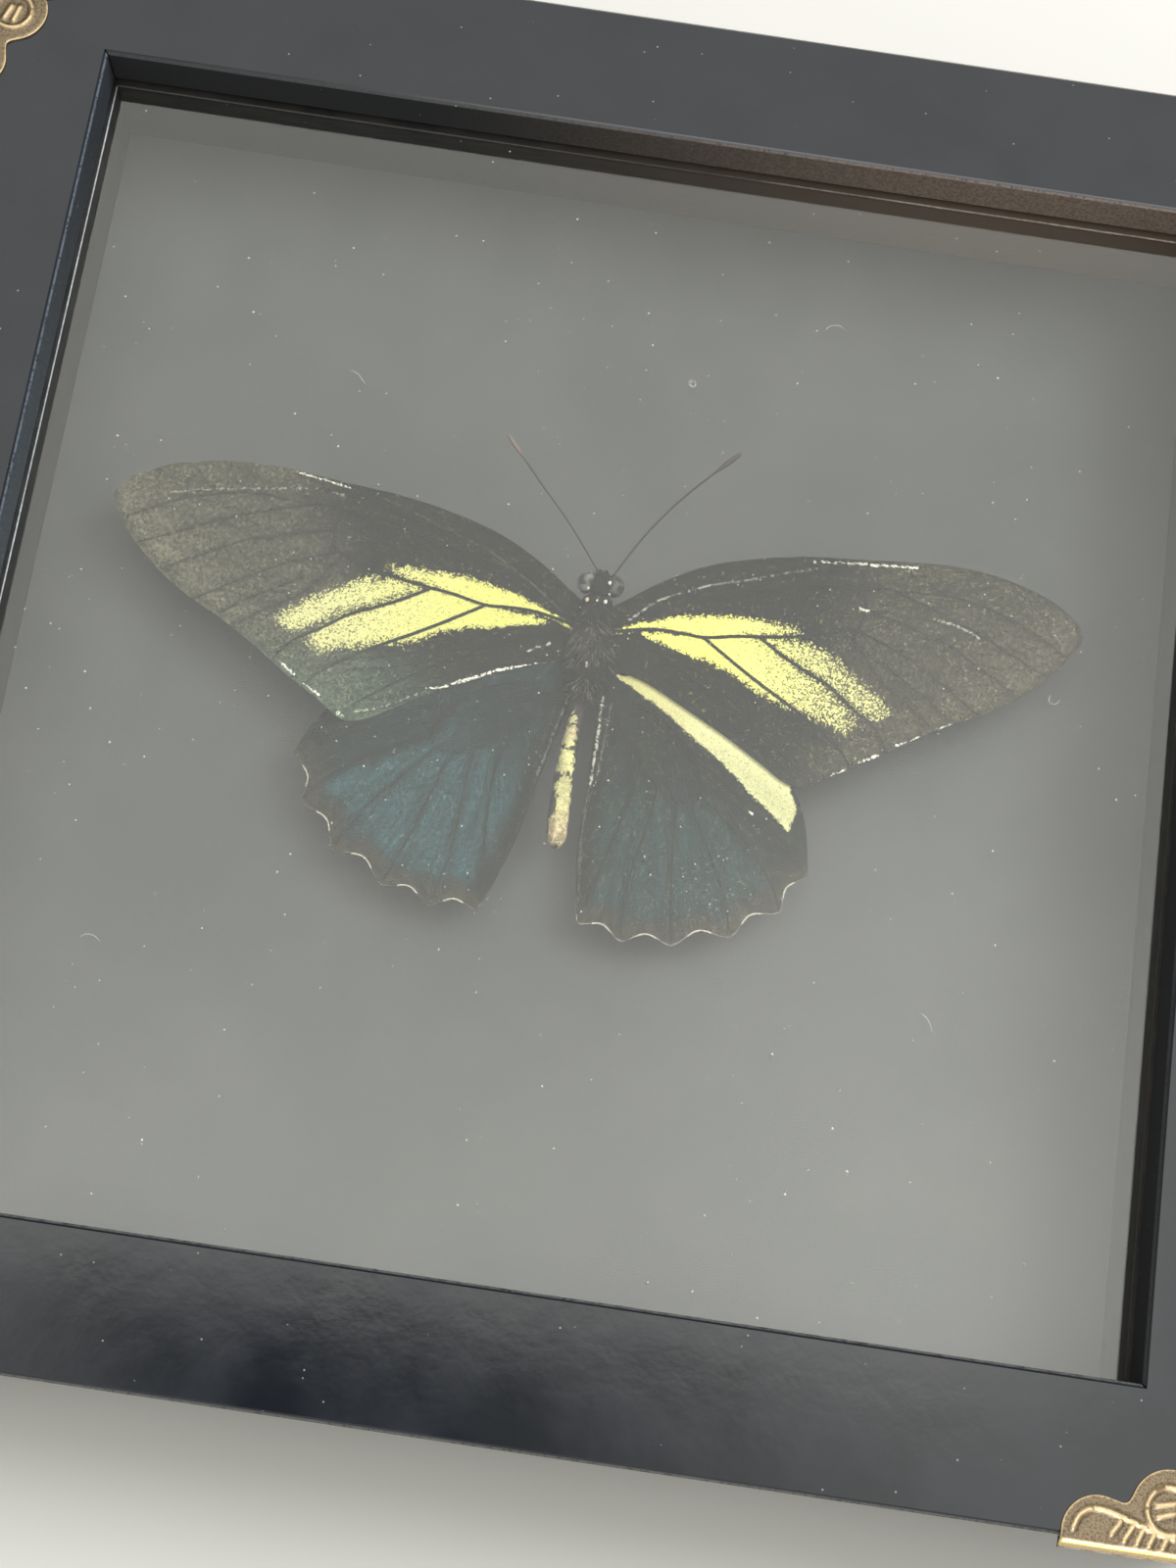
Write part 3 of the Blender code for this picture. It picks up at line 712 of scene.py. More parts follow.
def strip_material():
    """The dark spacer strips, with the soft grain of cut board and painted light on the top side's right
    part.
    """
    s = Shader("spacer_strip")
    layers = s.noise(0.5, 3.0, 0.6, (0.15, 0.15, 1.0))
    cloud = s.noise(6.0, 3.0)
    colour = s.mix(s.range(layers, 0.3, 0.7), (0.016, 0.016, 0.017), (0.04, 0.037, 0.036))
    colour = s.mix(s.range(cloud, 0.4, 0.7, 0.0, 0.4), colour, (0.05, 0.042, 0.038))
    # Painted light: the top strip's right part turns a lit brown.
    colour = s.mix(s.lit_part(), colour, (0.17, 0.122, 0.09))
    s.set(Base_Color=colour, Roughness=s.range(cloud, 0.2, 0.8, 0.45, 0.6),
          Normal=s.bump(layers, 0.05, 0.5))
    return s.material


def edging_material():
    """The strips' cut edge under the glass: brown, with painted highlight in bluish white, and pink on the
    top's lit right part.
    """
    s = Shader("strip_edging")
    fibres = s.noise(0.6, 4.0, 0.6)
    # Painted highlight colour: bluish white, turning pink on the top side's lit right part.
    pale = s.mix(s.lit_part(), (0.7, 0.76, 0.8), (0.8, 0.64, 0.55))
    colour = s.mix(s.value("tone"), (0.06, 0.045, 0.04), pale)
    colour = s.mix(s.range(fibres, 0.35, 0.7, 0.4, 0.0), colour, (0.06, 0.05, 0.045))
    s.set(Base_Color=colour, Roughness=s.range(fibres, 0.2, 0.8, 0.7, 0.9),
          Normal=s.bump(fibres, 0.05, 0.5))
    return s.material


def hardboard_material():
    """Brown hardboard: pressed fibres, blotches and a fine screen mark."""
    s = Shader("brown_hardboard")
    fibres = s.noise(0.5, 5.0, 0.7, (1.0, 0.35, 1.0))
    blotch = s.noise(11.0, 3.0)
    colour = s.mix(s.range(fibres, 0.3, 0.7), (0.17, 0.09, 0.045), (0.36, 0.22, 0.12))
    colour = s.mix(s.range(blotch, 0.35, 0.7, 0.0, 0.45), colour, (0.13, 0.07, 0.036))
    s.set(Base_Color=colour, Roughness=s.range(blotch, 0.2, 0.8, 0.55, 0.75),
          Normal=s.bump(fibres, 0.1, 0.6))
    return s.material


def steel_material():
    """Zinc-plated steel with rolling marks and dull spots."""
    s = Shader("zinc_steel")
    rolled = s.noise(0.3, 3.0, 0.6, (1.0, 0.08, 1.0))
    cloud = s.noise(2.0, 4.0, 0.6)
    colour = s.mix(s.range(cloud, 0.3, 0.7), (0.5, 0.5, 0.49), (0.66, 0.66, 0.64))
    s.set(Base_Color=colour, Metallic=1.0, Roughness=s.range(rolled, 0.2, 0.8, 0.28, 0.48),
          Normal=s.bump(rolled, 0.03, 0.4))
    return s.material


def foam_material():
    """White foam with open cells."""
    s = Shader("white_foam")
    grain, _, edge = s.grains(0.5)
    colour = s.mix(s.range(edge, 0.1, 0.6), (0.5, 0.5, 0.47), (0.82, 0.82, 0.79))
    s.set(Base_Color=colour, Roughness=s.range(grain, 0, 1, 0.8, 0.95),
          Normal=s.bump(s.range(edge, 0.0, 0.6), 0.15, 0.7))
    return s.material


def glass_material():
    """Picture glass, clear and faintly green in its depth."""
    s = Shader("clear_glass")
    cloud = s.noise(30.0, 2.0)
    colour = s.mix(s.range(cloud, 0.3, 0.7), (0.97, 0.99, 0.97), (0.99, 1.0, 0.99))
    s.set(Base_Color=colour, Roughness=0.0, IOR=1.5, Transmission_Weight=1.0)
    return s.material


def floor_material():
    """A plain pale studio floor."""
    s = Shader("floor")
    cloud = s.noise(60.0, 2.0)
    colour = s.mix(cloud, (0.6, 0.59, 0.565), (0.64, 0.63, 0.605))
    s.set(Base_Color=colour, Roughness=0.9)
    return s.material


# Wings --------------------------------------------------------------------------------

def pale_lines(plan, lines):
    """How far each point lies inside the nearest pale line, and that line's strength."""
    best, strength = np.full(len(plan), -9.0), np.zeros(len(plan))
    for points, half_width, bright in lines:
        depth = half_width - line_distance(plan, smooth_line(points))
        strength = np.where(depth > best, bright, strength)
        best = np.maximum(best, depth)
    return best, strength


def make_wing(name, node, side, outline, veins, level, values, mat, slot, fan):
    """A thin shell with raised veins; values gives its markings, and its folds leave fan."""
    plan, faces = netted(resampled(np.vstack([outline, outline[:1]]), WING_NET)[:-1], WING_NET)
    vein = np.full(len(plan), 9.0)
    for line in veins:
        vein = np.minimum(vein, line_distance(plan, line))
    middle = level(plan)
    ridge = 0.09 * bell(vein, 0.3) - 0.13 * ease(vein, 0.3, 2.0)
    top = middle + ridge + MEMBRANE / 2
    bottom = middle + ridge - MEMBRANE / 2
    points, faces = shell(plan, faces, top, bottom)
    away = plan - fan
    given = {"vein": vein, "around": 45 * np.arctan2(away[:, 1], away[:, 0]),
             "outward": 0.16 * np.hypot(*away.T), **values(plan, vein)}
    both_faces = {key: np.tile(np.broadcast_to(value, len(plan)), 2) for key, value in given.items()}
    make_piece(name, points * (side, 1, 1), faces, mat, slot, [node], 55, **both_faces)


def forewing_values(plan, vein, mirrored):
    """The forewing's markings, drawn on the right one and shifted for the left."""
    drawn = plan.copy()
    if mirrored:
        drawn[:, 0] /= LEFT_REACH * 1.01
        drawn[:, 1] -= 0.03 * (drawn[:, 0] - 14)
    x, y = drawn.T
    deepest = np.full(len(plan), -9.0)
    for patch in FOREWING_YELLOW:
        deepest = np.maximum(deepest, depth_inside(drawn, smooth_line([*patch, patch[0]])[:-1]))
    deepest += 0.5 * bell(vein, 0.45) * ease(x, 9, 11) * (1 - ease(x, 13, 23))
    soft = 0.35 + 0.75 * ease(x, 6, 26)
    root = 1 - ease(x, 3.5, 6)
    deepest += 0.25 * ripple(drawn, 0.9, 6) * (1 - root)
    cover = ease(deepest, -0.75 * soft, 0.95 * soft) * (1.04 - (0.18 if mirrored else 0.5) * ease(x, 14, 29))
    margin = line_distance(drawn, smooth_line([*FOREWING, FOREWING[0]]))
    distal = 0.5 * ease(x + (0.45 if mirrored else 0.12) * (10 - y) + 1.5 * ripple(drawn, 9, 3), 23, 31)
    distal += 0.5 * ease(x + 1.2 * (6 - y) + ripple(drawn, 7, 2), 30, 46)
    distal *= (0.78 + 0.22 * ease(vein, 0.1, 1.2)) * (0.6 + 0.4 * ease(margin, 0.1, 0.9))
    own = FOREWING_LEFT_PALE if mirrored else FOREWING_RIGHT_PALE
    pale, strength = pale_lines(drawn, own)
    return {
        "cover": cover - 0.05, "fading": 0.75 * ease(x, 10, 30), "distal": distal,
        "dusting": 0.02 + 0.42 * distal, "pale": pale, "paleness": strength,
        "sheen": (0.8 if mirrored else 0.12) * ease(-y, -6, 5) * ease(x, 9, 24),
    }


def forewing_level(plan):
    """The forewing's height: arched from root to apex, and slightly wavy."""
    x = plan[:, 0]
    return FORE_Z + 0.35 * np.sin(x / 52 * math.pi) - 0.25 * ease(x, 30, 52) + 0.28 * ripple(plan, 16, 5)


def make_forewings():
    """The left forewing is a little longer and paler than the right one, and has more painted green sheen.
    """
    for name, side in (("right", 1), ("left", -1)):
        mirrored = side < 0
        stretch = (LEFT_REACH, 1.0) if mirrored else (1.0, 1.0)
        outline = smooth_line([*FOREWING, FOREWING[0]])[:-1] * stretch
        veins = [smooth_line(line) * stretch for line in FOREWING_VEINS]
        if mirrored:
            mat = wing_material("forewing_scales_left", (0.004, 0.004, 0.004), (0.096, 0.091, 0.06),
                                (0.055, 0.085, 0.06), (0.73, 0.72, 0.155), (0.69, 0.675, 0.34))
        else:
            mat = wing_material("forewing_scales_right", (0.004, 0.004, 0.004), (0.062, 0.055, 0.034),
                                (0.03, 0.035, 0.025), (0.94, 0.93, 0.18), (0.72, 0.69, 0.33))
        make_wing(f"forewing_{name}_membrane", f"forewing_{name}", side, outline, veins,
                  forewing_level, lambda plan, vein: forewing_values(plan, vein, mirrored), mat,
                  "forewing_scales", (0.0, 6.0))


def bay(start, end, steps=10):
    """The scallop between two vein ends, without its start."""
    along = np.subtract(end, start)
    deepest = BAY_DEPTH * np.array([along[1], -along[0]])
    t = (np.arange(1, steps + 1) / steps)[:, None]
    return start + along * t + deepest * (1 - np.cos(2 * math.pi * t)) / 2


def hindwing_outline():
    """Front edge, scalloped outer edge and inner edge of the right hindwing."""
    bays = [bay(start, end) for start, end in zip(HINDWING_TEETH, HINDWING_TEETH[1:])]
    return np.vstack([smooth_line(HINDWING_COSTA), *bays, smooth_line(HINDWING_INNER)[1:-1]])


def hindwing_values(plan, vein, mirrored):
    """The hindwing's markings in the right wing's own place."""
    x, y = plan.T
    bays = [bay(start, end) for start, end in zip(HINDWING_TEETH, HINDWING_TEETH[1:])]
    margin = line_distance(plan, np.vstack(bays))
    inner = line_distance(plan, smooth_line(HINDWING_INNER))
    jagged = 0.9 * ripple(plan, 2.2, 8) + 0.6 * ripple(plan, 0.9, 4)
    field = ease(margin + jagged, 1.0, 3.0) * ease(inner, 0.8, 3.0)
    steep = np.where(x > 13.6, 0.9, 3.0)
    costal = ease(y + steep * (x - 13.6) + (8.8 if mirrored else 8.0), -0.9, 0.9)
    cell = depth_inside(plan, smooth_line(HINDWING_CELL)[:-1])
    field *= 1 - 0.5 * ease(cell, -0.1, 0.2)
    field *= (0.62 + 0.38 * ease(vein, 0.1, 1.1)) * (1 - 0.75 * costal)
    field *= 0.35 + 0.65 * ease(26 - x, 1.5, 6)
    if mirrored:
        cover = np.full(len(plan), -0.1)
        sheen = field * (0.3 + 0.7 * ease(np.hypot(x - 3, y), 5, 13))
        lines = HINDWING_PALE
    else:
        stripe = depth_inside(plan, smooth_line([*HINDWING_STRIPE, HINDWING_STRIPE[0]])[:-1])
        cover = ease(stripe + 0.12 * ripple(plan, 1.1, 12), -0.14, 0.14) * 1.05 - 0.05
        sheen = field * (0.12 + 0.88 * ease(-y + 0.2 * x, 6, 15))
        lines = HINDWING_PALE + HINDWING_RIGHT_PALE
    pale, strength = pale_lines(plan, lines)
    strength = np.where(0.12 - margin > pale, 0.22, strength)
    pale = np.maximum(pale, 0.12 - margin)
    return {
        "cover": cover, "fading": 0.7 * ease(x, 4, 16), "sheen": sheen, "dusting": 0.03 + 0.05 * field,
        "distal": 1 - ease(margin + jagged, 0.5, 2.8), "pale": pale,
        "paleness": strength * (0.25 if mirrored else 1.0),
    }


def hindwing_level(plan):
    """The hindwing lifts to lie against the forewing along the forewing's hind edge."""
    x, y = plan.T
    low = HIND_Z + 0.2 * np.sin((x - 2) / 24 * math.pi) + 0.2 * ripple(plan, 12, 9)
    overlap = y - 1.1 + 0.57 * (x - 10.4)
    share = ease(overlap, -5, -0.3) * (1 - ease(overlap, 1.0, 3.0))
    return low + share * (forewing_level(plan) - 0.36 - low)


def fringe(outlines, level, side, name):
    """White hairs along the middle of each bay, joined as one mesh."""
    roots, ways = [], []
    for line in outlines:
        line = resampled(line, 0.07)
        ahead = np.gradient(line, axis=0)
        ahead /= np.linalg.norm(ahead, axis=1)[:, None]
        outward = np.column_stack([-ahead[:, 1], ahead[:, 0]])
        roots.append(line - outward * 0.06)
        ways.append(outward)
    plan = np.vstack(roots)
    ways = np.vstack(ways) + rng.normal(0, 0.25, plan.shape)
    roots = np.column_stack([plan[:, 0] * side, plan[:, 1], level(plan)])
    ways = np.column_stack([ways[:, 0] * side, ways[:, 1], rng.normal(0, 0.12, len(plan))])
    lengths = rng.uniform(0.14, 0.26, len(plan))
    points, faces = hairs(roots, ways, lengths, np.full(len(plan), 0.1), 0.1)
    make_piece(name, points, faces, tufts, "hindwing_scales",
               tone=np.repeat(rng.uniform(0.6, 1.0, len(plan)), HAIR_POINTS))


def make_hindwings():
    """The left hindwing is the right one spread further, without its stripe in view."""
    for name, side, turn, size in (("right", 1, 0.0, 1.0), ("left", -1, LEFT_TURN, LEFT_SIZE)):
        mirrored = side < 0
        outline = spread(hindwing_outline(), turn, size)
        veins = [spread(smooth_line(line), turn, size) for line in HINDWING_VEINS]
        sheen = (0.018, 0.053, 0.057) if mirrored else (0.012, 0.032, 0.032)
        mat = wing_material(f"hindwing_scales_{name}", (0.006, 0.008, 0.007), (0.03, 0.028, 0.02),
                            sheen, (0.62, 0.58, 0.24), (0.76, 0.75, 0.42))

        def values(plan, vein):
            drawn = spread((plan - ROOT) / size ** 2 + ROOT, -turn, size)
            return hindwing_values(drawn, vein, mirrored)

        make_wing(f"hindwing_{name}_membrane", f"hindwing_{name}", side, outline, veins,
                  hindwing_level, values, mat, "hindwing_scales", spread((9.0, 0.0), turn, size))
        bays = [spread(bay(a, b, 20)[5:14], turn, size)
                for a, b in zip(HINDWING_TEETH, HINDWING_TEETH[1:])]
        fringe(bays, hindwing_level, side, f"hindwing_{name}_fringe")


# Body ---------------------------------------------------------------------------------

THORAX_Y = (0.4, 11.4)
THORAX_MIDDLE = -0.1


def thorax_radius(y):
    """How thick the thorax is along its length."""
    t = np.clip((y - THORAX_Y[0]) / (THORAX_Y[1] - THORAX_Y[0]), 0, 1)
    return 2.15 * np.sqrt(np.clip(1 - (2 * t - 1) ** 2, 0.02, 1)) ** 0.8


def make_thorax():
    """The skin under the hair, an uneven barrel."""
    sides = 28
    turn = np.linspace(0, 2 * math.pi, sides, endpoint=False)
    rings = []
    for y in np.linspace(*THORAX_Y, 26):
        bumps = 1 + 0.05 * np.sin(3 * turn + y * 1.7) + 0.04 * np.sin(5 * turn - y * 2.3)
        reach = thorax_radius(y) * bumps
        rings.append(np.column_stack([THORAX_MIDDLE + reach * np.cos(turn), np.full(sides, y),
                                      BODY_Z + reach * np.sin(turn)]))
    points, faces = lofted(rings)
    # Painted sheen: the skin is lighter and olive in a patch at the middle of its length.
    make_piece("thorax_skin", points, faces, fur, "body_fur", ["thorax"],
               tone=0.1 + 0.25 * bell(np.hypot(points[:, 0] + 0.6, points[:, 1] - 6), 2.0))


def make_fur():
    """Hairs over thorax, collar and waist, swept back and outwards."""
    count = 5600
    y = rng.uniform(THORAX_Y[0] + 0.1, THORAX_Y[1] - 0.1, count)
    reach = 0.95 * thorax_radius(y)
    turn = rng.uniform(-0.15 * math.pi, 1.15 * math.pi, count)
    roots = np.column_stack([THORAX_MIDDLE + reach * np.cos(turn), y, BODY_Z + reach * np.sin(turn)])
    ways = np.column_stack([0.8 * np.cos(turn), np.full(count, -0.9), 0.45 * np.sin(turn)])
    ways += rng.normal(0, 0.28, ways.shape)
    lengths = rng.uniform(0.6, 1.5, count)
    points, faces = hairs(roots, ways, lengths, rng.uniform(0.045, 0.075, count), 0.15)
    # Hairs around the middle are olive and paler: partly hair colour, partly painted sheen.
    olive = bell(np.hypot(roots[:, 0] + 0.7, roots[:, 1] - 6.2), 2.0)
    tone = np.clip(rng.uniform(0, 0.35, count) + olive * rng.uniform(0, 1, count), 0, 0.75)
    tone[rng.uniform(size=count) < 0.02 + 0.2 * olive + 0.08 * (y < 2.2)] = 0.95
    make_piece("thorax_hair", points, faces, fur, "body_fur", tone=np.repeat(tone, HAIR_POINTS))


def make_head():
    """Skull, palps and collar as one skin, short hair over it, and two eyes."""
    centre = np.array([-0.05, 13.2, BODY_Z])
    skull = ball(centre, (1.3, 1.5, 1.3), 20, 12)
    palps = [ball(centre + (0.35 * side, 1.35, -0.5), (0.3, 0.75, 0.35), 10, 8) for side in (-1, 1)]
    collar = ball(centre + (-0.1, -2.0, 0.2), (1.7, 0.9, 1.1), 20, 10)
    points, faces = joined([skull, *palps, collar])
    make_piece("head_skin", points, faces, fur, "body_fur", ["head"], tone=np.full(len(points), 0.12))
    count = 900
    turn, lift = rng.uniform(0, 2 * math.pi, count), rng.uniform(-0.2, 1.5, count)
    way = np.column_stack([np.cos(lift) * np.cos(turn), np.cos(lift) * np.sin(turn), np.sin(lift)])
    swept = way + (0, 0.15, 0) + rng.normal(0, 0.25, way.shape)
    lengths = rng.uniform(0.25, 0.6, count)
    points, faces = hairs(centre + way * (1.1, 1.3, 1.15), swept, lengths, np.full(count, 0.07), 0.1)
    make_piece("head_hair", points, faces, fur, "body_fur",
               tone=np.repeat(rng.uniform(0, 0.5, count), HAIR_POINTS))
    eyes = [ball(centre + (1.5 * side, 0.1, 0.1), (1.05, 1.25, 1.2), 22, 14) for side in (-1, 1)]
    points, faces = joined(eyes)
    # Painted reflection: the left eye gets a strong grey haze, the right one a weaker one.
    make_piece("eyes", points, faces, eye_material(), "body_fur",
               tone=np.where(points[:, 0] < centre[0], 1.0, 0.35))


def make_tufts():
    """The small white and tan scale spots of head, collar and thorax."""
    spots = [       # x, y, height above the body's middle, size, tone
        (0.85, 13.2, 1.3, 0.17, 1.0), (0.7, 11.0, 1.3, 0.2, 0.85), (-1.3, 11.0, 1.15, 0.21, 0.2),
        (1.0, 11.9, 1.3, 0.1, 1.0), (-1.35, 12.3, 1.2, 0.16, 0.3), (-0.3, 3.6, 2.2, 0.13, 0.55),
        (-0.25, 3.3, 2.15, 0.13, 0.7), (-0.2, 10.9, 1.6, 0.12, 0.6),
    ]
    parts, tones = [], []
    for x, y, above, size, tone in spots:
        points, faces = ball((x, y, BODY_Z + above), (size, size * 1.25, size * 0.7), 10, 7)
        parts.append((points + rng.normal(0, size * 0.09, points.shape), faces))
        tones.append(np.full(len(points), tone))
    points, faces = joined(parts)
    make_piece("collar_spots", points, faces, tufts, "body_fur", tone=np.concatenate(tones))


ABDOMEN_Y = (1.0, -16.0)


def abdomen_axis(y):
    """Where the abdomen's middle lies and how thick it is there."""
    t = np.clip((0.2 - y) / 16.2, 0, 1)
    x = -0.9 * np.sin(math.pi * (0.15 + t * 0.58))
    z = BODY_Z - 0.4 - 0.7 * t * t
    radius = 0.62 + 0.42 * np.sin(math.pi / 2 * np.minimum(1.0, t * 1.6)) + 0.14 * t * t
    radius *= np.sqrt(np.clip(1 - (np.clip(t - 0.86, 0, None) / 0.145) ** 2, 0.05, 1))
    return x, z, radius


def abdomen_values(points):
    """The yellow strip's reach, the dark marks across it and where it is tan."""
    x, y, z = points.T
    left = np.interp(-y, [1.3, 3, 5.3, 8.2, 11, 14, 15.6, 16.2],
                     [-0.9, -1.5, -1.75, -1.9, -1.75, -1.8, -1.6, -1])
    right = np.interp(-y, [1.3, 3, 5.1, 7, 9.8, 13, 15.7, 16.2],
                      [-0.8, -0.3, -0.2, -0.1, 0.1, 0.4, 0.5, 0.3])
    upper = np.where(z > abdomen_axis(y)[1] - 0.1, 9, -1)
    zigzag = -8.6 + 0.5 * np.abs((x * 2.2) % 1 - 0.5) * 2
    bars = [0.2 - np.abs(y + 5.35 + 0.1 * np.sin(x * 5)), 0.2 - np.abs(y - zigzag),
            0.07 - np.abs(y + 2.75)]
    bare = [0.75 - np.hypot((x + 1.9) * 1.2, (y + 11.4) * 0.5),
            0.3 - np.hypot((x + 1.6) * 0.9, (y + 8.7) * 0.5)]
    return {
        "strip": np.min([x - left, right - x, -1.3 - y, y + 15.75, upper], axis=0),
        "mark": np.max(bars + bare, axis=0),
        "tip": np.maximum(0.85 * bell(y + 3.7, 1.4), ease(-y, 8.5, 15.0)),
    }


def make_abdomen():
    """Segments that overlap like shingles, under a worn yellow strip."""
    segment, sides = 2.05, 36
    turn = np.linspace(0, 2 * math.pi, sides, endpoint=False)
    rings = []
    for y in np.linspace(*ABDOMEN_Y, 120):
        x, z, radius = abdomen_axis(y)
        step = ((ABDOMEN_Y[0] - y) / segment) % 1.0
        radius *= 0.94 + 0.08 * ease(step, 0.0, 0.85) - 0.05 * ease(step, 0.88, 1.0)
        rings.append(np.column_stack([x + radius * np.cos(turn), np.full(sides, y),
                                      z + radius * np.sin(turn)]))
    points, faces = lofted(rings)
    make_piece("abdomen_skin", points, faces, abdomen_material(), "abdomen_scales", ["abdomen"],
               **abdomen_values(points))


def make_antennae():
    """Ringed bristles with a club at the end; the left one is thinner, and its club is painted pale as a
    highlight.
    """
    mat = antenna_material()
    routes = {
        "left": [(-0.4, 14.3, 14.6), (-4.4, 19.4, 14.9), (-8.6, 24.0, 15.1), (-12.5, 28.5, 15.2)],
        "right": [(1.1, 14.3, 14.6), (3.9, 19.4, 14.9), (7.6, 24.5, 15.1), (12.9, 30.3, 15.2)],
    }
    for name, knots in routes.items():
        route = resampled(smooth_line(knots, 12), 0.11)
        t = np.linspace(0, 1, len(route))
        club = np.sin(math.pi * np.clip((t - 0.82) / 0.2, 0, 1))
        rings = 1 + 0.1 * np.sin(np.arange(len(route)) * 2 * math.pi / 3)
        thick = 0.09 if name == "left" else 0.12
        radii = (thick + 0.17 * np.clip(club, 0, 1)) * rings
        radii[-2:] *= (0.75, 0.35)
        points, faces = lofted(tube_rings(route, radii, 10))
        # Painted highlight: the left club is given a pale tone, the right one hardly any.
        pale = 0.9 if name == "left" else 0.12
        make_piece(f"antenna_{name}_bristle", points, faces, mat, "antenna_black",
                   [f"antenna_{name}"], tone=np.repeat(pale * ease(t, 0.8, 0.9), 10))


# Frame --------------------------------------------------------------------------------

BRACKET_ARM = 21.15
BRACKET_BEND = 1.3      # radius of the bend between plate and flange
FLANGE_CORNER = 2.9     # radius of a flange's free lower corner


def bracket_half():
    """From one arm's end round the lobes to the diagonal: (along the arm, in from the edge)."""
    end_lobe = arc((17.7, 0.6), 3.4, 0, 104, 20)
    ring_lobe = arc((11.1, 3.5), 3.7, 20, 118, 24)
    neck = smooth_line([end_lobe[-1], (16.0, 3.7), (15.4, 3.62), (14.95, 3.95), ring_lobe[0]])[1:-1]
    middle_lobe = arc((6.3, 6.2), 2.9, 5, 44, 10)
    return np.vstack([end_lobe, neck, ring_lobe, middle_lobe])


def bracket_relief(plan):
    """How high the stamping stands at each point of the plate: rings, leaf and bars."""
    folded = np.where((plan[:, 0] < plan[:, 1])[:, None], plan[:, ::-1], plan)
    ring = bell(np.hypot(folded[:, 0] - 11.3, folded[:, 1] - 3.5) - 2.1, 0.26)
    leaf = smooth_line([(20.1, 0.8), (19.6, 2.0), (18.6, 2.7), (17.4, 2.8), (15.8, 2.45),
                        (14.3, 2.0), (12.4, 1.4), (10.6, 1.1)])
    leaf = bell(line_distance(folded, leaf), 0.28)
    bars = np.zeros(len(plan))
    lines = [((16.5, 0.8), (15.8, 1.8)), ((15.3, 0.4), (14.6, 1.6)), ((14.1, 0.3), (13.7, 1.3)),
             ((13.0, 0.2), (12.6, 1.1)), ((11.7, 0.2), (11.4, 0.9)), ((12.5, 3.8), (10.8, 4.2)),
             ((12.3, 2.8), (10.8, 3.3))]
    for start, end in lines:
        bars = np.maximum(bars, 0.85 * bell(line_distance(folded, np.array([start, end])), 0.28))
    middle = np.hypot(plan[:, 0] - 5.6, plan[:, 1] - 5.6)
    boss = np.maximum(bell(middle - 1.5, 0.3), 0.9 * bell(middle, 0.5))
    spine = 0.7 * bell(folded[:, 0] - folded[:, 1], 0.35) * (middle < 9) * (folded[:, 0] < 3.6)
    return np.max([ring, leaf, bars, boss, spine], axis=0)


def flange_rings(out):
    """Sections along a flange: slightly bowed, with its free lower corner rounded off."""
    rings = []
    for step, a in enumerate(np.linspace(out + 0.05, BRACKET_ARM - 0.02, 90)):
        back = max(0.0, a - BRACKET_ARM + FLANGE_CORNER)
        foot = BRACKET_FOOT + FLANGE_CORNER - math.sqrt(FLANGE_CORNER ** 2 - back ** 2)
        bow, waist = out + 0.03 * math.sin(step * 0.55), (foot + FRAME_TOP) / 2
        section = [(out + 0.1, FRAME_TOP - 0.6), (bow, FRAME_TOP - 1.0), (bow + 0.1, waist),
                   (bow, foot + 0.2), (out + 0.1, foot), (-0.1, foot), (-0.15, waist),
                   (-0.1, FRAME_TOP - 0.6)]
        rings.append(np.array([(a, b, z) for b, z in section]))
    return rings


def make_bracket(place, quarter, mat):
    """Stamped brass: the plate as a relief, and a folded flange down each side."""
    half = bracket_half()
    lobes = np.vstack([half, half[::-1, ::-1]])
    out = -BRACKET_OUT - 0.3        # a little further out than the CAD's flange
    outline = np.vstack([lobes, [(out, BRACKET_ARM), (out, out), (BRACKET_ARM, out)]])
    closed = np.vstack([outline, outline[:1]])
    plan, faces = netted(resampled(closed, BRACKET_NET)[:-1], BRACKET_NET)
    relief = bracket_relief(plan)
    edge = line_distance(plan, closed)
    bend = np.clip((np.minimum(plan[:, 0], plan[:, 1]) - out) / BRACKET_BEND, 0, 1)
    drop = 1.2 * (1 - np.sqrt(1 - (1 - bend) ** 2)) + 0.12 * (1 - ease(edge, 0, 0.3))
    top = BRACKET_TOP - 0.34 * (1 - relief) - 0.12 - drop
    bottom = np.minimum(FRAME_TOP + 0.06, top - 0.3)
    parts = [shell(plan, faces, np.maximum(top, bottom + 0.12), bottom)]
    # Painted highlight: the rim and the bend's lip get high numbers, which the brass turns bright.
    lip = bell(np.minimum(plan[:, 0], plan[:, 1]) - out - 0.55, 0.3)
    shine = np.max([relief, 0.75 * bell(edge, 0.13), 1.4 * lip], axis=0)
    tones = [np.tile(shine, 2)]
    rings = flange_rings(out)
    # Painted shade: the flanges get low numbers, so they are dark brown, darkest towards the foot.
    for order in ([0, 1, 2], [1, 0, 2]):
        part = lofted([ring[:, order] for ring in rings])
        parts.append(part)
        tones.append(np.clip((part[0][:, 2] - BRACKET_FOOT) / 20, 0.0, 0.2))
    points, faces = joined(parts)
    corner = np.column_stack([OUTER - points[:, 1], -OUTER + points[:, 0]])
    points = np.column_stack([turned(corner, quarter), points[:, 2]])
    make_piece(f"corner_{place}_stamping", points, faces, mat, "aged_brass",
               [f"corner_bracket_{place}"], 60, relief=np.concatenate(tones))


def make_mitre_filling(mat):
    """Lacquer that has run into the mitres and hides them."""
    near, far, half = SPACER_FACE + 0.35, OUTER - 0.35, 0.08
    plan = np.array([(near - half, near + half), (near + half, near - half),
                     (far + half, far - half), (far - half, far + half)])
    parts = []
    for quarter in range(4):
        corner = turned(plan, quarter)
        parts.append(lofted([np.column_stack([corner, np.full(4, z)])
                             for z in (FRAME_TOP - 0.5, FRAME_TOP + 0.003)]))
    points, faces = joined(parts)
    make_piece("mitre_lacquer", points, faces, mat, "black_lacquer", (), 30)


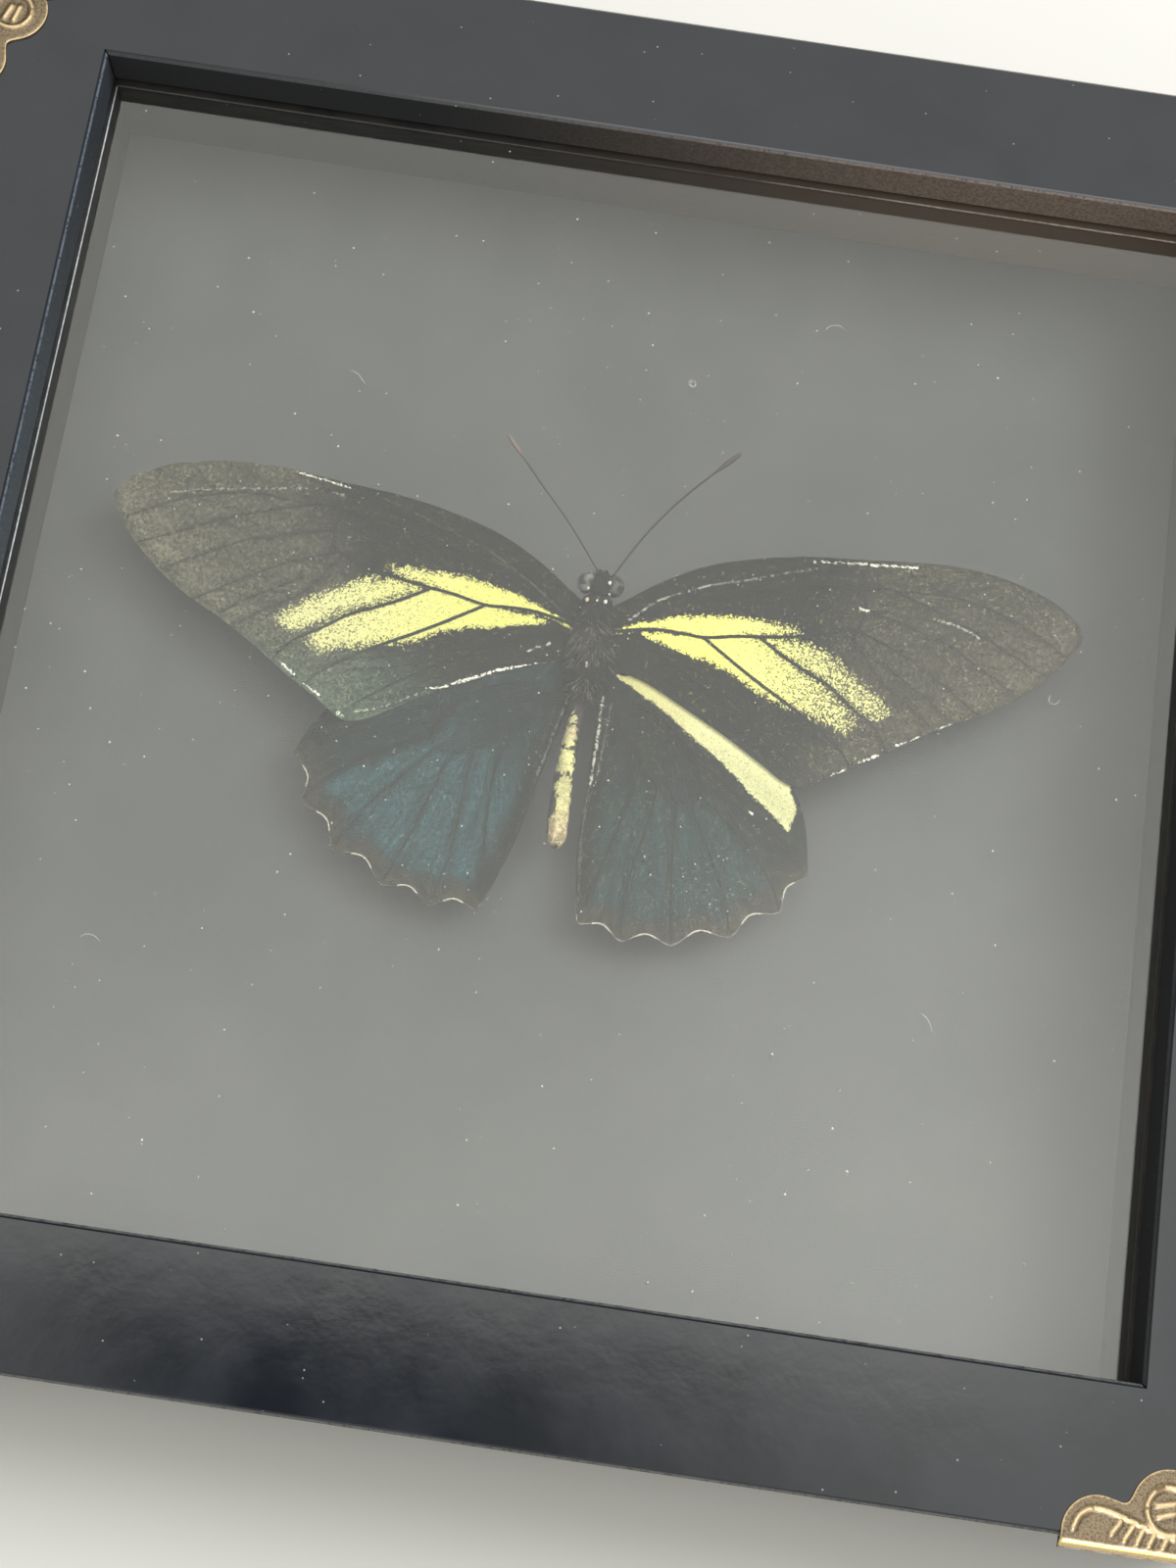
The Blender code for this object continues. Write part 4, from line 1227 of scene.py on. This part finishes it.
def make_edging():
    """The ragged cut edge along the top of each spacer strip."""
    mat = edging_material()
    reach, inner, outer = SPACER_FACE - 0.1, -SPACER_FACE + 0.14, -SPACER_FACE + 0.02
    for quarter, side in enumerate(("bottom", "right", "top", "left")):
        along = np.arange(-reach, reach, 0.35)
        depth = 0.26 + 0.07 * ripple(np.column_stack([along, along * 0]), 6, 20 + quarter)
        rings = []
        for a, deep in zip(along, depth):
            rings.append(np.array([(a, outer, SPACER_TOP - deep), (a, inner, SPACER_TOP - deep),
                                   (a, inner + 0.03, SPACER_TOP - 0.02), (a, outer, SPACER_TOP - 0.02)]))
        points, faces = lofted(rings)
        points = np.column_stack([turned(points[:, :2], quarter), points[:, 2]])
        x, y, _ = points.T
        # Painted highlight: the tone makes the edge pale on the left, on the top's right part and faintly at
        # the bottom, and nearly dark on the right.
        share = {"bottom": 0.3 + 0 * x, "right": 0.12 * ease(y, 20, 50),
                 "top": 0.12 + 0.88 * ease(x, 0, 40), "left": 0.85 + 0 * x}[side]
        patchy = 0.25 * ripple(points[:, :2], 9, 31)
        make_piece(f"spacer_{side}_cut_edge", points, faces, mat, "spacer_strip",
                   tone=np.clip(share + patchy * (share > 0.15), 0, 1))


# Dust ---------------------------------------------------------------------------------

def crumbs(places, sizes):
    """Small uneven lumps, six points each."""
    corners = np.array([(1, 0, 0), (-1, 0, 0), (0, 1, 0), (0, -1, 0), (0, 0, 0.6), (0, 0, -0.6)])
    sides = [[0, 2, 4], [2, 1, 4], [1, 3, 4], [3, 0, 4], [2, 0, 5], [1, 2, 5], [3, 1, 5], [0, 3, 5]]
    parts = []
    for place, size in zip(places, sizes):
        lump = corners * size * rng.uniform(0.6, 1.4, (6, 1))
        parts.append((lump + place, sides))
    return joined(parts)


def make_dust():
    """Crumbs on the glass, the card and the wings."""
    mat = lint_material()
    reach = SPACER_FACE - 1
    layers = (("glass_dust", 260, GLASS_TOP + 0.03, 0.05, 0.16, "clear_glass"),
              ("board_dust", 300, BOARD_TOP + 0.04, 0.06, 0.17, "black_card"))
    for name, count, z, small, large, slot in layers:
        places = np.column_stack([rng.uniform(-reach, reach, (count, 2)), np.full(count, z)])
        sizes = small + (large - small) * rng.power(0.45, count)
        points, faces = crumbs(places, sizes)
        make_piece(name, points, faces, mat, slot, tone=np.repeat(rng.uniform(0.5, 1.0, count), 6))
    fore = smooth_line([*FOREWING, FOREWING[0]])[:-1]
    for name, side in (("right", 1), ("left", -1)):
        hind = spread(hindwing_outline(), LEFT_TURN * (side < 0), 1.0)
        for kind, outline, level, count in (("fore", fore, forewing_level, 110),
                                            ("hind", hind, hindwing_level, 90)):
            plan = rng.uniform(outline.min(0), outline.max(0), (count, 2))
            plan = plan[depth_inside(plan, outline) > 0.4]
            places = np.column_stack([plan[:, 0] * side, plan[:, 1], level(plan) + 0.13])
            points, faces = crumbs(places, 0.05 + 0.07 * rng.power(0.5, len(plan)))
            make_piece(f"{kind}wing_{name}_dust", points, faces, mat, f"{kind}wing_scales",
                       tone=np.repeat(rng.uniform(0.4, 1.0, len(plan)), 6))


def make_threads():
    """Short curled fibres that lie on the glass."""
    parts = []
    starts = [(6.4, 35.6), (-30.0, 31.0), (38.0, -29.0), (-44.0, -34.0), (20.0, 44.0), (49.0, 6.0)]
    for index, (x, y) in enumerate(starts):
        heading = rng.uniform(0, 2 * math.pi)
        curl = rng.uniform(-0.6, 0.6) if index else 0.9
        place, route = np.array([x, y]), []
        for _ in range(14 if index else 22):
            route.append((*place, GLASS_TOP + 0.05))
            heading += curl * 0.5 + rng.normal(0, 0.12)
            place = place + 0.17 * np.array([math.cos(heading), math.sin(heading)])
        route = smooth_line(route, 2)
        parts.append(lofted(tube_rings(route, np.full(len(route), 0.028), 5)))
    points, faces = joined(parts)
    make_piece("glass_lint", points, faces, lint_material(), "clear_glass",
               tone=np.full(len(points), 0.75))


# Frame finishes, light and camera -----------------------------------------------------

def finish_frame(lacquer):
    """Materials for the CAD nodes that stay."""
    finishes = {
        "frame_rail": lacquer, "spacer": strip_material(), "mount_board": card_material(),
        "glass_pane": glass_material(), "backing_board": hardboard_material(),
        "retaining_point": steel_material(), "riser_block": foam_material(),
    }
    finishes["sawtooth_hanger"] = finishes["hanger_nail"] = finishes["retaining_point"]
    for name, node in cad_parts.items():
        for start, mat in finishes.items():
            if name.startswith(start):
                node.data.materials.clear()
                node.data.materials.append(mat)
    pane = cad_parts["glass_pane"]     # only the camera meets the pane, so it casts no shade
    pane.visible_shadow = False
    pane.visible_diffuse = False
    pane.visible_glossy = False


def make_floor():
    """A wide flat square under the frame."""
    reach = 4.0
    corners = [(-reach, -reach, 0), (reach, -reach, 0), (reach, reach, 0), (-reach, reach, 0)]
    mesh = bpy.data.meshes.new("floor")
    mesh.from_pydata(corners, [], [[0, 1, 2, 3]])
    mesh.materials.append(floor_material())
    floor = bpy.data.objects.new("floor", mesh)
    bpy.context.collection.objects.link(floor)


def make_world():
    """A studio dome: a large soft light overhead, dim walls and a dark camera stand.

    The stand shows in the bottom rail and ends where the glass begins to mirror. near is the
    brighter stretch of the dome that the glass mirrors above that rail.
    """
    world = bpy.data.worlds.new("studio")
    bpy.context.scene.world = world
    world.use_nodes = True
    w = Nodes(world.node_tree)
    way = w.add("ShaderNodeTexCoord").outputs["Generated"]

    def along(*axis):
        node = w.add("ShaderNodeVectorMath", {0: way, 1: axis}, operation="DOT_PRODUCT")
        return node.outputs["Value"]

    x, y, rail_edge = along(1, 0, 0), along(0, 1, 0), along(0, 1, -0.0302)
    slope = w.math("ADD", along(0.15, -0.45, 0.0), 1.03)
    glow = w.range(along(0.16, 0.14, 0.977), 0.988, 0.998, 0.0, 0.3)
    dome = w.range(along(0.06, 0.26, 0.964), 0.7, 0.88, 0.42, 1.9)
    near = w.times(w.range(y, 0.03, 0.2, 0.42, 0.0), w.range(rail_edge, -0.006, 0.0))
    near = w.times(near, w.range(x, 0.2, 0.27, 1.0, 0.0))
    overhead = w.times(dome, w.math("ADD", slope, w.math("ADD", glow, near)))
    x_band = w.times(w.range(x, -0.3, -0.1), w.range(x, -0.08, 0.26, 1.0, 0.0))
    y_band = w.times(w.range(y, -0.16, -0.08), w.range(rail_edge, -0.006, 0.0, 1.0, 0.0))
    stand = w.times(w.times(x_band, y_band), -0.97)
    light = w.times(overhead, w.math("ADD", stand, 1.0))
    background = w.tree.nodes["Background"]
    w.feed(background.inputs["Color"], (1.0, 1.0, 0.94))
    w.feed(background.inputs["Strength"], light)


def make_lamp(name, size, energy, place):
    """A round soft lamp that looks at the frame."""
    light = bpy.data.lights.new(name, "AREA")
    light.shape = "DISK"
    light.size = size
    light.energy = energy
    lamp = bpy.data.objects.new(name, light)
    lamp.location = place
    lamp.rotation_euler = Vector(place).to_track_quat("Z", "Y").to_euler()
    bpy.context.collection.objects.link(lamp)
    return lamp


def make_camera():
    """Nearly straight above, from the tail's side, with the frame turned a little."""
    place = Vector((2.42, -71.48, 241.34)) * MM
    away = Vector((-0.0029, 0.2661, -0.9639)).normalized()
    right = Vector((0.989, 0.1431, 0.0365))
    right = (right - away * right.dot(away)).normalized()
    up = right.cross(away)
    data = bpy.data.cameras.new("camera")
    data.sensor_width = 36
    data.lens = 51.49
    data.clip_start = 0.01
    data.clip_end = 20
    camera = bpy.data.objects.new("camera", data)
    camera.matrix_world = Matrix.Translation(place) @ Matrix((right, up, -away)).transposed().to_4x4()
    bpy.context.collection.objects.link(camera)
    bpy.context.scene.camera = camera


make_camera()
make_floor()
make_world()
make_lamp("key", 0.5, 7.0, (0.52, 0.3, 0.66)).visible_glossy = False
make_lamp("window", 0.6, 3.6, (0.15, -0.85, 0.62)).visible_diffuse = False
bpy.context.scene.view_settings.view_transform = "Standard"

lacquer = lacquer_material()
finish_frame(lacquer)
make_mitre_filling(lacquer)
fur = fur_material()
tufts = tuft_material()
make_forewings()
make_hindwings()
make_thorax()
make_fur()
make_head()
make_tufts()
make_abdomen()
make_antennae()
brass = brass_material()
for quarter, place in enumerate(("bottom_right", "top_right", "top_left", "bottom_left")):
    make_bracket(place, quarter, brass)
make_edging()
make_dust()
make_threads()
